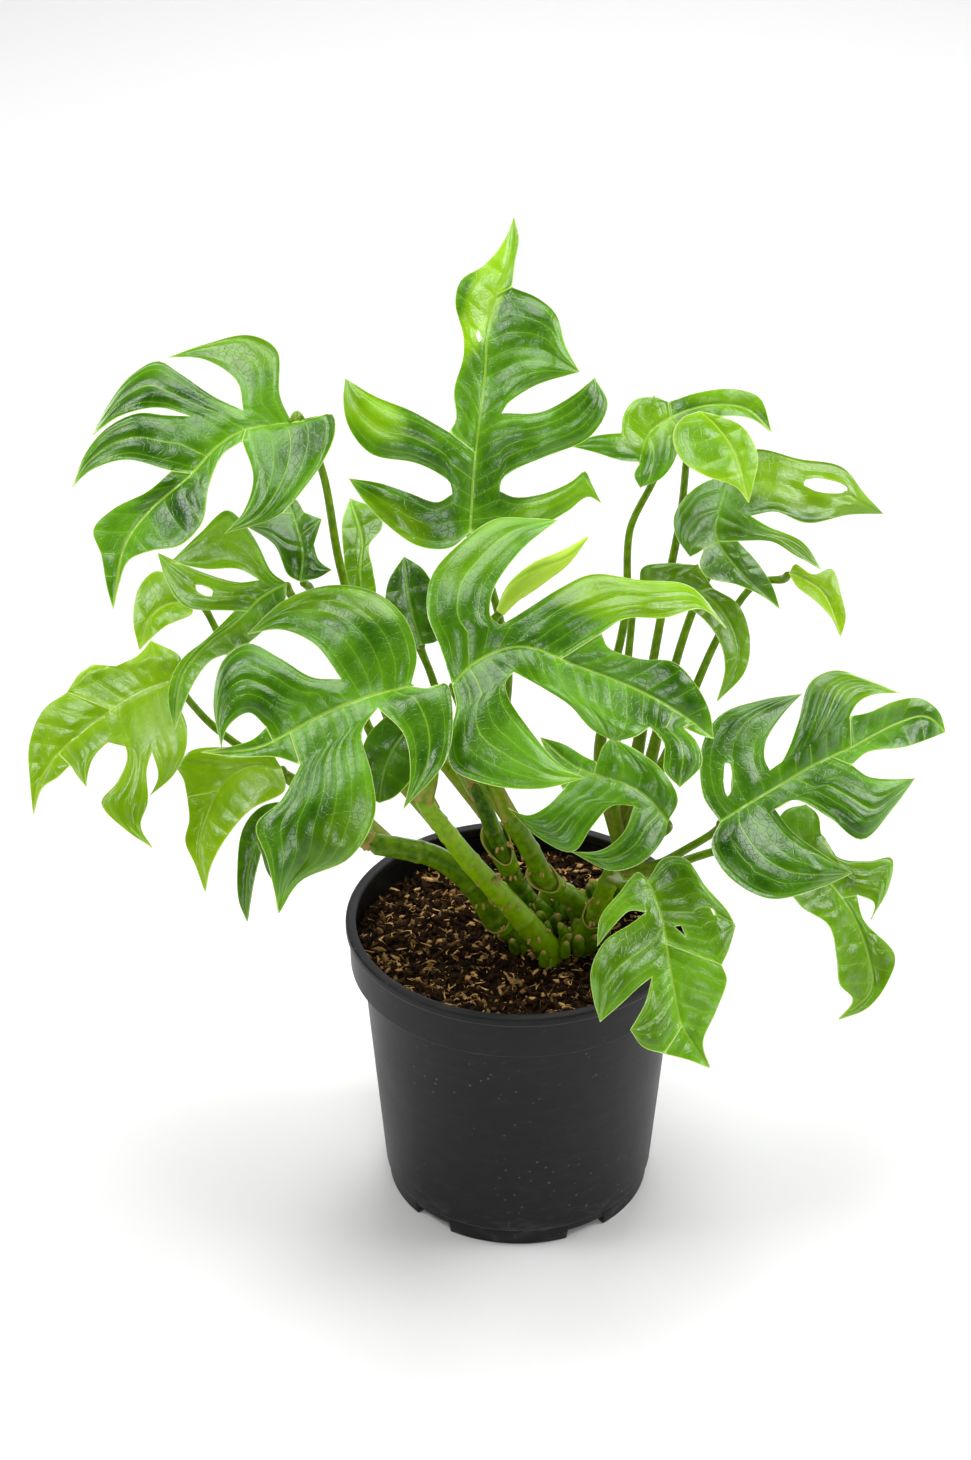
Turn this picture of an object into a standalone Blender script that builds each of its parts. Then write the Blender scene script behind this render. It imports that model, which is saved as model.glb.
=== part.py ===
"""Mini monstera in a plastic nursery pot.

Canes and leaf stalks stand in the soil, and each cut leaf is a blade of its own on its stalk.
The leaves were drawn over a photograph, so their outlines are points in its frame of 971 by 1460
pixels. Each point is carried along its line of sight onto the plane that its leaf lies in.
"""

import math

import bmesh
import bpy
import numpy as np
from mathutils import Matrix, Vector

# Driving dimensions, in metres
POT_HEIGHT = 0.135
LIP_RADIUS = 0.075
BAND_RADIUS = 0.0735
BAND_HEIGHT = 0.021
WALL_TOP_RADIUS = 0.0680
WALL_FOOT_RADIUS = 0.0592
FOOT_RADIUS = 0.0580
FOOT_HEIGHT = 0.009
FOOT_NOTCHES = 5
NOTCH_WIDTH = 0.019
DRAIN_HOLES = 6
DRAIN_SIDES = 12
DRAIN_RADIUS = 0.004
DRAIN_CIRCLE = 0.038
POT_WALL = 0.0016
POT_SIDES = 40
SOIL_LEVEL = 0.120
SOIL_RELIEF = 0.0014
SOIL_WAVES = (210, 170)
SOIL_WAVE_START = (1.3, -0.4)
SOIL_SLANT_WAVES = (330, 290)
SOIL_SLANT_SHARE = 0.6
SOIL_HOLE_DEPTH = 0.030
FLOOR_TOP = 0.0065
FOOT_WIDTH = 0.0040
NOTCH_HEIGHT = 0.0045
FIRST_NOTCH_DEGREES = -131
LIP_WIDTH = 0.0046
LIP_DEPTH = 0.0036
EDGE_ROUND = 0.0008
BAND_STEP = 0.0015
SOIL_RINGS = 6
HOLE_CLEARANCE = 0.0006
CANE_STEPS = 12
JOINT_EVERY = 3
JOINT_SWELL = 1.08
CANE_HOLE_SIDES = 16
STALK_STEPS = 10
STALK_THINNING = 0.6
STALK_BEND = 0.007
CANE_UPRIGHT = 0.006
CANE_TIP_SHARE = 0.6
CLEARANCE = 0.0003
BLADE_THICKNESS = 0.0008
STALK_TIP_RADIUS = 0.0015
STALK_FOOT_RADIUS = 0.0024
SEAT_GAP = 0.0006

# The pot's axis stands here, so that the middle of the whole plant's box is over the origin
POT_AXIS = (0.0114, 0.0047, 0.0)

# The point of view the leaves were drawn from: its place from the pot's axis in metres, its downward
# tilt, and its focal length in pixels
VIEW_PLACE = Vector((-0.0146, -1.2202, 0.9890))
VIEW_TILT = math.radians(31.9)
VIEW_FOCAL = 3447.0
PHOTO_CENTRE = (485.5, 730.0)

# How finely a blade is divided: steps along the midrib, from the midrib to the sinuses, and on to the
# lobe tips
MIDRIB_STEPS = 12
WEB_ROWS = 1
LOBE_ROWS = 5

# A web line leaves the midrib nearer the base than its sinus, by this share of the sinus's distance
WEB_SLANT = 0.45
SEARCH_STEPS = 240
BOW_FADE = 1.5

# Form of a blade, in metres, or as a share of its length
ARCH = 0.05
FOLD = 0.22
FOLD_RETURN = 1.5
LOBE_DROP = 0.035
LOBE_TWIST = 0.10
LOBE_CUP = 0.0012

# Each leaf in pixels of the photograph. Left and right are as seen from its base towards its tip. A side is
# a list of lobes, from the base on: the points out to the lobe's tip, the tip, the points back, and the sinus
# after it. Then come the points of the last stretch of edge, up to the blade's tip.
LEAVES = {
    "leaf_upper_left": dict(
        midrib=[(292, 423), (250, 428), (220, 444), (190, 475), (150, 510), (125, 545), (113, 610)],
        left=[([(305, 421), (332, 414), (335, 432), (324, 460), (306, 486), (278, 516)], (224, 534),
               [(243, 512), (253, 478)], (242, 441))],
        left_end=[(222, 455), (209, 485), (202, 522), (180, 545), (150, 551), (128, 561), (119, 584)],
        right=[([(280, 395), (277, 350), (250, 335), (205, 344)], (168, 357), [(205, 360), (237, 382)],
                (243, 410)),
               ([(215, 397), (178, 372), (158, 361), (130, 376), (107, 406)], (92, 435),
                [(120, 416), (158, 408)], (190, 416)),
               ([(165, 415), (138, 413), (108, 427), (86, 452)], (72, 487), [(92, 470), (125, 460)],
                (171, 471))],
        right_end=[(148, 491), (113, 509), (93, 530), (101, 555), (106, 584)]),
    "leaf_top_centre": dict(
        midrib=[(470, 533), (472, 500), (475, 460), (480, 415), (485, 375), (487, 340), (495, 300),
                (508, 262), (514, 217)],
        left=[([(450, 548), (418, 546), (388, 526), (362, 499)], (348, 478),
               [(380, 483), (410, 493), (437, 502)], (452, 494)),
              ([(450, 483), (437, 473), (415, 463), (371, 454), (349, 428), (343, 400)], (345, 378),
               [(375, 396), (412, 411)], (449, 432))],
        left_end=[(456, 420), (454, 390), (463, 357), (463, 335), (455, 303), (461, 280), (484, 265),
                  (503, 242)],
        right=[([(492, 541), (532, 530), (567, 512), (588, 497)], (602, 504),
                [(592, 484), (585, 471), (572, 481), (545, 493), (515, 497)], (500, 491)),
               ([(502, 480), (515, 470), (545, 457), (590, 437), (608, 404)], (595, 377),
                [(573, 395), (540, 412)], (502, 413)),
               ([(508, 404), (535, 386)], (580, 372), [(566, 346), (556, 314), (538, 298)], (512, 287))],
        right_end=[(515, 262), (519, 238)]),
    "leaf_back_right": dict(
        midrib=[(640, 462), (650, 432), (676, 415), (710, 405), (745, 408), (772, 432)],
        left=[([(622, 461), (596, 453)], (572, 447), [(590, 437), (606, 434)], (621, 433)),
              ([(624, 413), (636, 399)], (655, 396), [], (668, 402))],
        left_end=[(700, 392), (735, 389), (760, 398)],
        right=[([(634, 475)], (640, 488), [(662, 478), (676, 458)], (680, 432))],
        right_end=[(710, 418), (750, 418)]),
    "leaf_top_right": dict(
        midrib=[(700, 411), (720, 430), (736, 456), (749, 503)],
        left=[], left_end=[(720, 416), (743, 427), (758, 455), (754, 482)],
        right=[], right_end=[(682, 418), (673, 435), (681, 459), (704, 475), (736, 487)]),
    "leaf_right_upper": dict(
        midrib=[(728, 478), (720, 508), (716, 535), (737, 568), (780, 609)],
        left=[([(752, 450), (800, 459), (842, 467), (866, 495)], (884, 514),
               [(850, 515), (808, 523), (775, 512)], (751, 516)),
              ([(768, 526), (803, 542)], (822, 569), [(796, 556), (772, 542)], (738, 541))],
        left_end=[(758, 563), (773, 587)],
        right=[([(709, 480), (688, 494), (674, 516), (676, 536)], (690, 557), [(698, 553)], (704, 549))],
        right_end=[(700, 563), (706, 576), (738, 585), (764, 597)]),
    "leaf_right_small": dict(
        midrib=[(789, 573), (806, 580), (824, 594), (841, 637)],
        left=[], left_end=[(795, 564), (813, 574), (832, 569), (842, 597), (846, 618)],
        right=[], right_end=[(797, 586), (815, 600), (832, 618)]),
    "leaf_back_arching": dict(
        midrib=[(640, 588), (690, 586), (725, 615), (738, 655), (717, 702)],
        left=[([(642, 568), (668, 563)], (698, 565), [], (713, 588))],
        left_end=[(738, 604), (750, 637), (745, 672)],
        right=[], right_end=[(650, 606), (690, 609), (718, 638), (725, 668)]),
    "leaf_mid_left": dict(
        midrib=[(287, 583), (262, 597), (236, 622), (208, 643), (183, 675), (174, 732)],
        left=[], left_end=[(283, 606), (243, 647), (210, 661), (190, 690)],
        right=[([(272, 572), (260, 548), (247, 527), (227, 510), (200, 533)], (170, 562),
                [(205, 569), (238, 569)], (259, 580)),
               ([(238, 582), (200, 571)], (157, 552), [(166, 580), (184, 606)], (234, 611))],
        right_end=[(206, 639), (181, 660), (168, 692)]),
    "leaf_left_behind": dict(
        midrib=[(300, 582), (303, 556), (298, 530), (285, 492)],
        left=[([(288, 575), (274, 545)], (247, 527), [(262, 520)], (280, 513))],
        left_end=[(278, 502)],
        right=[([(318, 578)], (332, 570), [(319, 560)], (314, 545)),
               ([], (322, 519), [], (304, 512))],
        right_end=[(297, 500)]),
    "leaf_left_low_behind": dict(
        midrib=[(192, 602), (168, 604), (150, 618), (139, 650)],
        left=[], left_end=[(192, 613), (166, 626), (148, 641)],
        right=[], right_end=[(180, 582), (156, 571), (139, 587), (133, 620)]),
    "leaf_far_left": dict(
        midrib=[(172, 680), (140, 692), (100, 718), (58, 754), (38, 785), (33, 815)],
        left=[([(178, 702), (187, 726), (186, 750), (173, 776)], (150, 796), [(158, 776)], (152, 752)),
              ([(147, 770), (148, 802), (141, 826)], (153, 848),
               [(128, 832), (101, 803), (117, 782), (127, 757), (122, 742)], (108, 742)),
              ([(94, 757), (89, 770)], (86, 787), [(77, 776)], (70, 765))],
        left_end=[(58, 777), (42, 788)],
        right=[([(181, 658)], (151, 640), [(138, 655)], (116, 666)),
               ([], (92, 664), [(78, 675)], (67, 692))],
        right_end=[(43, 710), (29, 745), (30, 785)]),
    "leaf_low_left": dict(
        midrib=[(282, 768), (250, 766), (224, 782), (207, 815), (199, 850), (205, 892)],
        left=[], left_end=[(285, 790), (250, 810), (226, 838), (211, 866)],
        right=[([(268, 750), (225, 747), (190, 751)], (176, 768), [(183, 779)], (187, 797))],
        right_end=[(189, 820), (185, 841), (195, 865)]),
    "leaf_low_left_behind": dict(
        midrib=[(295, 800), (266, 826), (249, 868), (247, 922)],
        left=[([(302, 830), (296, 862)], (277, 886), [(267, 872)], (261, 852))],
        left_end=[(254, 880)],
        right=[], right_end=[(262, 806), (243, 828), (237, 875), (239, 902)]),
    "leaf_front_left": dict(
        midrib=[(411, 686), (370, 696), (325, 713), (290, 732), (255, 748), (200, 752)],
        left=[([(430, 688), (446, 683), (453, 715), (446, 760)], (403, 810), [(410, 775), (404, 735)],
               (378, 708)),
              ([(362, 732), (372, 775), (375, 815), (350, 858), (300, 882)], (279, 914),
               [(267, 860), (256, 825), (281, 800)], (300, 765))],
        left_end=[(275, 757), (238, 757)],
        right=[([(417, 655), (405, 618), (375, 592), (330, 585), (283, 601)], (247, 634),
                [(282, 630), (315, 645)], (341, 679)),
               ([(312, 677), (280, 658), (247, 643), (223, 660), (213, 702)], (221, 748),
                [(228, 727), (249, 713)], (266, 727))],
        right_end=[(253, 739), (228, 747)]),
    "leaf_low_inner_left": dict(
        midrib=[(432, 708), (405, 732), (386, 765), (379, 803)],
        left=[], left_end=[(432, 740), (412, 778), (394, 797)],
        right=[], right_end=[(405, 706), (368, 735), (360, 772), (370, 797)]),
    "leaf_centre": dict(
        midrib=[(452, 685), (475, 662), (520, 646), (575, 665), (625, 684), (675, 710), (714, 739)],
        left=[([(440, 647), (427, 612), (432, 575), (460, 543), (495, 519), (530, 518)], (558, 520),
               [(525, 547), (502, 575), (492, 595), (491, 617)], (500, 625)),
              ([(511, 619), (530, 607), (560, 588), (592, 574), (640, 580), (690, 586)], (727, 628),
               [(702, 609), (665, 618), (625, 619)], (602, 633))],
        left_end=[(607, 646), (617, 652), (642, 659), (674, 662), (697, 686), (710, 712)],
        right=[([(456, 705), (449, 740), (452, 768), (490, 785), (540, 789)], (586, 778),
                [(560, 764), (528, 727), (507, 694), (506, 681)], (514, 672)),
               ([(546, 690), (570, 706), (591, 729)], (615, 742), [(637, 736)], (650, 727)),
               ([(664, 745), (664, 770)], (680, 788), [(702, 764), (697, 742)], (683, 727))],
        right_end=[(700, 735)]),
    "leaf_centre_right_low": dict(
        midrib=[(668, 822), (650, 800), (628, 785), (600, 776), (573, 765), (540, 737)],
        left=[([(664, 838), (643, 862), (612, 871)], (571, 852), [(601, 850), (623, 833)], (634, 806)),
              ([(612, 806), (592, 827), (573, 852), (542, 840)], (507, 808), [(528, 815), (547, 806)],
               (563, 790))],
        left_end=[(552, 768)],
        right=[([(678, 800), (664, 772), (640, 752)], (612, 737), [(603, 746)], (597, 762))],
        right_end=[(584, 756), (564, 744)]),
    "leaf_right": dict(
        midrib=[(720, 822), (750, 803), (780, 785), (810, 767), (850, 748), (895, 724), (925, 716),
                (946, 732)],
        left=[([(703, 795), (702, 745), (720, 715), (760, 700)], (803, 693),
               [(782, 716), (766, 742), (765, 760)], (770, 770)),
              ([(779, 765), (787, 752), (798, 722), (810, 682), (835, 670), (870, 680)], (901, 693),
               [(873, 695), (858, 703)], (850, 716))],
        left_end=[(870, 712), (895, 701), (920, 698), (939, 711)],
        right=[([(711, 845), (728, 876), (770, 899), (820, 888)], (853, 873), [(820, 852), (792, 831)],
                (775, 809)),
               ([(795, 800), (828, 817), (862, 840), (893, 809)], (916, 778), [(888, 779), (868, 776)],
                (852, 765))],
        right_end=[(868, 752), (905, 747), (932, 738)]),
    "leaf_right_hanging": dict(
        midrib=[(790, 850), (828, 880), (853, 915), (868, 955), (871, 990), (838, 1020)],
        left=[([(776, 832), (784, 811)], (806, 804), [(818, 815)], (821, 833)),
              ([(838, 857), (868, 861), (892, 858), (889, 888)], (871, 920), [(874, 903)], (857, 895))],
        left_end=[(864, 920), (895, 955), (888, 982), (868, 1008)],
        right=[], right_end=[(780, 868), (800, 905), (829, 926), (837, 960), (840, 985), (853, 1000)]),
    "leaf_front_low": dict(
        midrib=[(648, 880), (661, 915), (668, 955), (674, 990), (682, 1025), (710, 1068)],
        left=[([(664, 858), (686, 859), (706, 886), (728, 911)], (736, 926), [(729, 950)], (722, 965))],
        left_end=[(727, 980), (716, 1012), (703, 1043)],
        right=[([(638, 872), (620, 892), (600, 918)], (597, 947), [(612, 928), (630, 911)], (646, 912)),
               ([(632, 923), (605, 941), (591, 970), (593, 998)], (600, 1022), [(620, 1005), (638, 988)],
                (652, 977)),
               ([(645, 1003)], (630, 1030), [(643, 1047)], (664, 1054))],
        right_end=[(688, 1060)]),
    "leaf_inner_left": dict(
        midrib=[(363, 603), (360, 570), (362, 540), (350, 498)],
        left=[], left_end=[(348, 598), (344, 560), (342, 522)],
        right=[], right_end=[(375, 598), (373, 570), (369, 545), (382, 527), (379, 511)]),
    "leaf_inner_dark": dict(
        midrib=[(422, 645), (412, 612), (407, 585), (404, 556)],
        left=[], left_end=[(400, 648), (386, 615), (388, 582)],
        right=[], right_end=[(438, 640), (438, 600), (424, 570)]),
}

# Where each blade lies: how far behind the pot's axis its base is (metres), and which way its face looks,
# as degrees turned to the right of the viewer and degrees above the horizontal
BLADE_PLANES = {
    "leaf_upper_left": (0.000, -25, 48),
    "leaf_top_centre": (0.015, 0, 38),
    "leaf_back_right": (0.075, 15, 50),
    "leaf_top_right": (0.045, 20, 50),
    "leaf_right_upper": (0.050, 25, 50),
    "leaf_right_small": (0.048, 30, 50),
    "leaf_back_arching": (0.035, 20, 50),
    "leaf_mid_left": (-0.005, -25, 50),
    "leaf_left_behind": (0.040, -15, 50),
    "leaf_left_low_behind": (0.045, -30, 50),
    "leaf_far_left": (0.008, -35, 50),
    "leaf_low_left": (-0.020, -30, 45),
    "leaf_low_left_behind": (0.010, -25, 40),
    "leaf_front_left": (-0.060, -15, 48),
    "leaf_low_inner_left": (-0.028, -10, 45),
    "leaf_centre": (-0.050, 10, 50),
    "leaf_centre_right_low": (-0.020, 10, 48),
    "leaf_right": (-0.025, 25, 48),
    "leaf_right_hanging": (0.015, 30, 42),
    "leaf_front_low": (-0.062, 10, 45),
    "leaf_inner_left": (0.040, -10, 45),
    "leaf_inner_dark": (0.025, 0, 45),
}

# Holes through the blades, each an ellipse in pixels: its middle, half its length and width, and its
# lean in degrees
LEAF_HOLES = {
    "leaf_right_upper": [(826, 486, 23, 7, 8)],
    "leaf_mid_left": [(204, 590, 11, 4.5, 28)],
    "leaf_right": [(728, 779, 18, 4.5, 88), (741, 846, 10, 4.5, 60), (758, 871, 10, 4, 62)],
    "leaf_front_low": [(681, 930, 9, 3.6, 45)],
}
HOLE_SIDES = 12
HOLE_DEPTH = 0.03

# Each cane: radius at the foot and at the top, then its course as (photo x, photo y, distance behind the
# pot's axis in metres). The first point is where it leaves the soil. Each stalk: the leaf it carries,
# where it leaves the cane as a share of the cane's length, and the points that it passes.
STEMS = {
    "leafy_stem_left": dict(
        radii=(0.0054, 0.0046),
        course=[(522, 945, -0.003), (497, 921, -0.004), (472, 885, -0.006), (438, 858, -0.010),
                (400, 848, -0.014),
                (368, 843, -0.016)],
        stalks=[("leaf_far_left", 0.97, [(318, 800, -0.004), (262, 762, 0.008), (212, 725, 0.014)]),
                ("leaf_left_low_behind", 0.90, [(335, 790, 0.012), (275, 715, 0.030), (225, 645, 0.042)]),
                ("leaf_low_left", 0.99, [(338, 815, -0.018), (305, 785, -0.016)]),
                ("leaf_low_left_behind", 0.93, [(345, 835, -0.006), (318, 815, 0.006)])]),
    "leafy_stem_front": dict(
        radii=(0.0060, 0.0034),
        course=[(550, 957, -0.013), (514, 909, -0.018), (472, 864, -0.025), (441, 825, -0.031),
                (419, 795, -0.036)],
        stalks=[("leaf_front_left", 0.96, [(433, 772, -0.048), (434, 735, -0.062)]),
                ("leaf_upper_left", 0.90,
                 [(395, 730, -0.022), (362, 640, -0.002), (340, 565, 0.009), (322, 470, 0.012)]),
                ("leaf_mid_left", 0.82, [(385, 760, -0.012), (352, 690, 0.000), (318, 628, 0.004)])]),
    "leafy_stem_middle": dict(
        radii=(0.0046, 0.0034),
        course=[(545, 925, 0.013), (522, 892, 0.010), (502, 852, 0.008), (484, 806, 0.008),
                (474, 780, 0.010)],
        stalks=[("leaf_top_centre", 0.94, [(500, 730, 0.012), (508, 668, 0.016), (492, 590, 0.022)]),
                ("leaf_inner_left", 0.90, [(430, 720, 0.024), (388, 655, 0.038)]),
                ("leaf_inner_dark", 0.97, [(445, 715, 0.018), (430, 672, 0.026)]),
                ("leaf_left_behind", 0.80, [(420, 735, 0.036), (355, 660, 0.050), (318, 605, 0.050)]),
                ("leaf_furled", 0.99, [(486, 710, 0.002), (496, 650, 0.000)])]),
    "leafy_stem_centre": dict(
        radii=(0.0048, 0.0040),
        course=[(588, 928, 0.011), (572, 898, 0.006), (548, 882, 0.000), (530, 850, -0.006),
                (508, 814, -0.012)],
        stalks=[("leaf_centre", 0.97, [(488, 770, -0.022), (466, 725, -0.038)]),
                ("leaf_low_inner_left", 0.90, [(478, 775, -0.016), (455, 738, -0.023)])]),
    "leafy_stem_right": dict(
        radii=(0.0048, 0.0040),
        course=[(580, 949, -0.006), (594, 918, -0.008), (606, 888, -0.010), (616, 866, -0.011)],
        stalks=[("leaf_centre_right_low", 0.93, [(640, 848, -0.008), (660, 835, -0.012)]),
                ("leaf_right", 0.97, [(648, 868, -0.014), (690, 847, -0.018)]),
                ("leaf_right_hanging", 0.86, [(660, 868, 0.000), (720, 850, 0.012), (765, 843, 0.018)]),
                ("leaf_front_low", 0.90, [(624, 884, -0.030), (638, 882, -0.050)])]),
    "leafy_stem_tall": dict(
        radii=(0.0050, 0.0040),
        course=[(612, 916, 0.022), (618, 880, 0.022), (622, 845, 0.024)],
        stalks=[("leaf_back_right", 0.97,
                 [(600, 760, 0.034), (612, 680, 0.046), (626, 610, 0.060), (630, 530, 0.074)]),
                ("leaf_back_arching", 0.90, [(612, 780, 0.022), (624, 700, 0.028), (630, 640, 0.034)]),
                ("leaf_top_right", 0.98,
                 [(636, 760, 0.036), (648, 690, 0.044), (662, 612, 0.054), (680, 520, 0.062)]),
                ("leaf_right_upper", 0.92,
                 [(648, 770, 0.030), (668, 690, 0.042), (690, 618, 0.050), (722, 540, 0.064)]),
                ("leaf_right_small", 0.84,
                 [(655, 780, 0.022), (690, 700, 0.034), (722, 630, 0.046), (757, 583, 0.056)])]),
}
# The new leaf is still rolled up: its course from foot to tip, its thickest radius, and its thickness
# along it as a share of that
FURLED_COURSE = [(500, 612, 0.000), (514, 592, 0.002), (538, 573, 0.005), (564, 558, 0.008),
                 (588, 537, 0.012)]
FURLED_RADIUS = 0.0050
FURLED_THICKNESS = (0.42, 0.66, 0.88, 1.0, 0.98, 0.84, 0.62, 0.36, 0.12)

# Young blades are lime, and old ones in the shade are dark
LIME_LEAVES = ("leaf_far_left", "leaf_low_left", "leaf_right_small", "leaf_left_low_behind", "leaf_top_right")
DARK_LEAVES = ("leaf_low_left_behind", "leaf_low_inner_left", "leaf_inner_dark", "leaf_left_behind",
               "leaf_back_arching", "leaf_right_upper")

# Colours, as linear red, green and blue
POT_BLACK = (0.030, 0.031, 0.033)
SOIL_BROWN = (0.040, 0.022, 0.012)
STALK_GREEN = (0.16, 0.34, 0.05)
LEAF_GREEN = (0.07, 0.27, 0.03)
LEAF_LIME = (0.24, 0.46, 0.04)
LEAF_DARK = (0.04, 0.15, 0.02)
NEW_LEAF_LIME = (0.45, 0.62, 0.12)


def clear_scene():
    for old in list(bpy.data.objects):
        bpy.data.objects.remove(old, do_unlink=True)


def new_collection(name):
    collection = bpy.data.collections.new(name)
    bpy.context.scene.collection.children.link(collection)
    return collection


def material(name, colour, roughness):
    made = bpy.data.materials.new(name)
    made.use_nodes = True
    shader = made.node_tree.nodes["Principled BSDF"]
    shader.inputs["Base Color"].default_value = (*colour, 1.0)
    shader.inputs["Roughness"].default_value = roughness
    return made


def plant_place():
    """The empty that stands at the foot of the pot's axis and carries every piece."""
    place = bpy.data.objects.get("plant_place")
    if place is None:
        place = bpy.data.objects.new("plant_place", None)
        place.location = POT_AXIS
        bpy.context.scene.collection.objects.link(place)
    return place


def add_object(name, mesh, collection, finish):
    made = bpy.data.objects.new(name, mesh)
    made.data.materials.append(finish)
    made.parent = plant_place()
    collection.objects.link(made)
    return made


def shade_round(mesh, sharp_degrees=35):
    mesh.shade_smooth()
    mesh.set_sharp_from_angle(angle=math.radians(sharp_degrees))


def line_of_sight(pixels):
    """Directions from the view's place through pixels of the photograph, an array of rows."""
    offsets = (np.atleast_2d(np.asarray(pixels, float)) - PHOTO_CENTRE) / VIEW_FOCAL
    right = np.array((1.0, 0.0, 0.0))
    up = np.array((0.0, math.sin(VIEW_TILT), math.cos(VIEW_TILT)))
    ahead = np.array((0.0, math.cos(VIEW_TILT), -math.sin(VIEW_TILT)))
    return offsets[:, :1] * right - offsets[:, 1:] * up + ahead


def seen_at(x, y, behind):
    """The point seen at a pixel that lies this far behind the pot's axis."""
    direction = line_of_sight((x, y))[0]
    reach = (behind - VIEW_PLACE.y) / direction[1]
    return np.array(VIEW_PLACE) + reach * direction


def smooth(points, steps=24):
    """A dense smooth curve through the given points, in any number of dimensions."""
    given = np.array(points, float)
    if len(given) == 2:
        share = np.linspace(0, 1, steps)[:, None]
        return given[0] * (1 - share) + given[1] * share
    given = np.vstack([2 * given[0] - given[1], given, 2 * given[-1] - given[-2]])
    share = np.linspace(0, 1, steps, endpoint=False)[:, None]
    rise = 3 * share**2 - 2 * share**3
    leave = share**3 - 2 * share**2 + share
    arrive = share**3 - share**2
    pieces = []
    for before, start, end, after in zip(given, given[1:], given[2:], given[3:]):
        gaps = (start - before, end - start, after - end)
        lead, span, trail = (max(np.linalg.norm(gap) ** 0.5, 1e-9) for gap in gaps)
        slope_start = (start - before) / lead - (end - before) / (lead + span) + (end - start) / span
        slope_end = (end - start) / span - (after - start) / (span + trail) + (after - end) / trail
        pieces.append(
            (1 - rise) * start + leave * slope_start * span + rise * end + arrive * slope_end * span
        )
    return np.vstack([*pieces, given[-2:-1]])


def along(curve, shares):
    """Points at the given shares of a curve's length."""
    travelled = np.r_[0, np.cumsum(np.linalg.norm(np.diff(curve, axis=0), axis=1))]
    wanted = np.asarray(shares) * travelled[-1]
    return np.column_stack([np.interp(wanted, travelled, axis) for axis in curve.T])


def sinus_feet(curve, lobes):
    """The step of the midrib that the web line to each sinus starts from, nearer the base than the sinus."""
    fine = along(curve, np.linspace(0, 1, SEARCH_STEPS + 1))
    length = np.linalg.norm(np.diff(fine, axis=0), axis=1).sum()
    steps = [0]
    for number, (_, _, _, sinus) in enumerate(lobes):
        distance = np.linalg.norm(fine - np.array(sinus, float), axis=1)
        share = distance.argmin() / SEARCH_STEPS - WEB_SLANT * distance.min() / length
        step = max(steps[-1] + 1, round(share * MIDRIB_STEPS))
        steps.append(min(step, MIDRIB_STEPS - len(lobes) + number))
    return steps


def blade_patches(leaf):
    """The blade as grids of pixels: one patch for each lobe, ruled between its two edges, and one for the
    rest of each half. Each comes with its shares along the midrib and out from it."""
    curve = smooth(leaf["midrib"])
    feet = along(curve, np.linspace(0, 1, MIDRIB_STEPS + 1))
    rows = np.linspace(0, 1, WEB_ROWS + LOBE_ROWS + 1)
    web = np.linspace(0, 1, WEB_ROWS + 1)
    outward = np.linspace(0, 1, LOBE_ROWS + 1)[1:]
    for side in ("left", "right"):
        lobes = leaf[side]
        steps = sinus_feet(curve, lobes)
        for number, (out, tip, back, sinus) in enumerate(lobes):
            first, last = steps[number], steps[number + 1]
            if number == 0:
                near = along(smooth([feet[0], *out, tip]), rows)
            else:
                start = np.array(lobes[number - 1][3], float)
                near = np.vstack([feet[first] + web[:, None] * (start - feet[first]),
                                  along(smooth([start, *out, tip]), outward)])
            end = np.array(sinus, float)
            far = np.vstack([feet[last] + web[:, None] * (end - feet[last]),
                             along(smooth([end, *back[::-1], tip]), outward)])
            across = np.linspace(0, 1, last - first + 1)
            bow = feet[first:last + 1] - np.outer(1 - across, feet[first]) - np.outer(across, feet[last])
            keep = np.clip(1 - rows / rows[WEB_ROWS], 0, 1) ** BOW_FADE if number else (1 - rows) ** 2
            grid = near[:, None] * (1 - across)[None, :, None] + far[:, None] * across[None, :, None]
            grid = grid + keep[:, None, None] * bow[None]
            ribs = np.broadcast_to(feet[first:last + 1], grid.shape)
            beyond = np.clip((rows - rows[WEB_ROWS]) / (1 - rows[WEB_ROWS]), 0, 1)[:, None]
            station = (first + across * (last - first)) / MIDRIB_STEPS
            middle = (first + last) / 2 / MIDRIB_STEPS
            station = middle + (station[None] - middle) * (1 - beyond)
            width = np.linalg.norm(far - near, axis=1)[:, None]
            lean = (across[None] - 0.5) * width * beyond * (1 if number % 2 else -1)
            cup = np.sin(np.pi * across)[None] * np.sin(np.pi * rows)[:, None]
            yield grid, ribs, station, lean, cup, beyond
        first = steps[-1]
        start = np.array(lobes[-1][3], float) if lobes else feet[0]
        shares = np.linspace(0, 1, MIDRIB_STEPS - first + 1)
        edge = along(smooth([start, *leaf[side + "_end"], leaf["midrib"][-1]]), shares)
        grid = feet[first:, None] * (1 - web)[None, :, None] + edge[:, None] * web[None, :, None]
        ribs = np.broadcast_to(feet[first:, None], grid.shape)
        station = (first + shares * (MIDRIB_STEPS - first))[:, None] / MIDRIB_STEPS
        station = np.broadcast_to(station, grid.shape[:2])
        nothing = np.zeros(grid.shape[:2])
        yield grid, ribs, station, nothing, nothing, nothing


def blade_height(distance, station, lean, cup, beyond, length):
    """How far the blade stands off its plane towards the viewer: it arches along the midrib, its halves rise
    from the midrib and fall again, each lobe twists and cups a little, and the lobe tips drop."""
    arch = ARCH * length * 4 * station * (1 - station)
    fold = FOLD * distance * (1 - FOLD_RETURN * distance / length)
    drop = -LOBE_DROP * length * beyond**2 - LOBE_DROP * length * station**3
    return arch + fold + drop + LOBE_TWIST * lean + LOBE_CUP * cup


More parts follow.
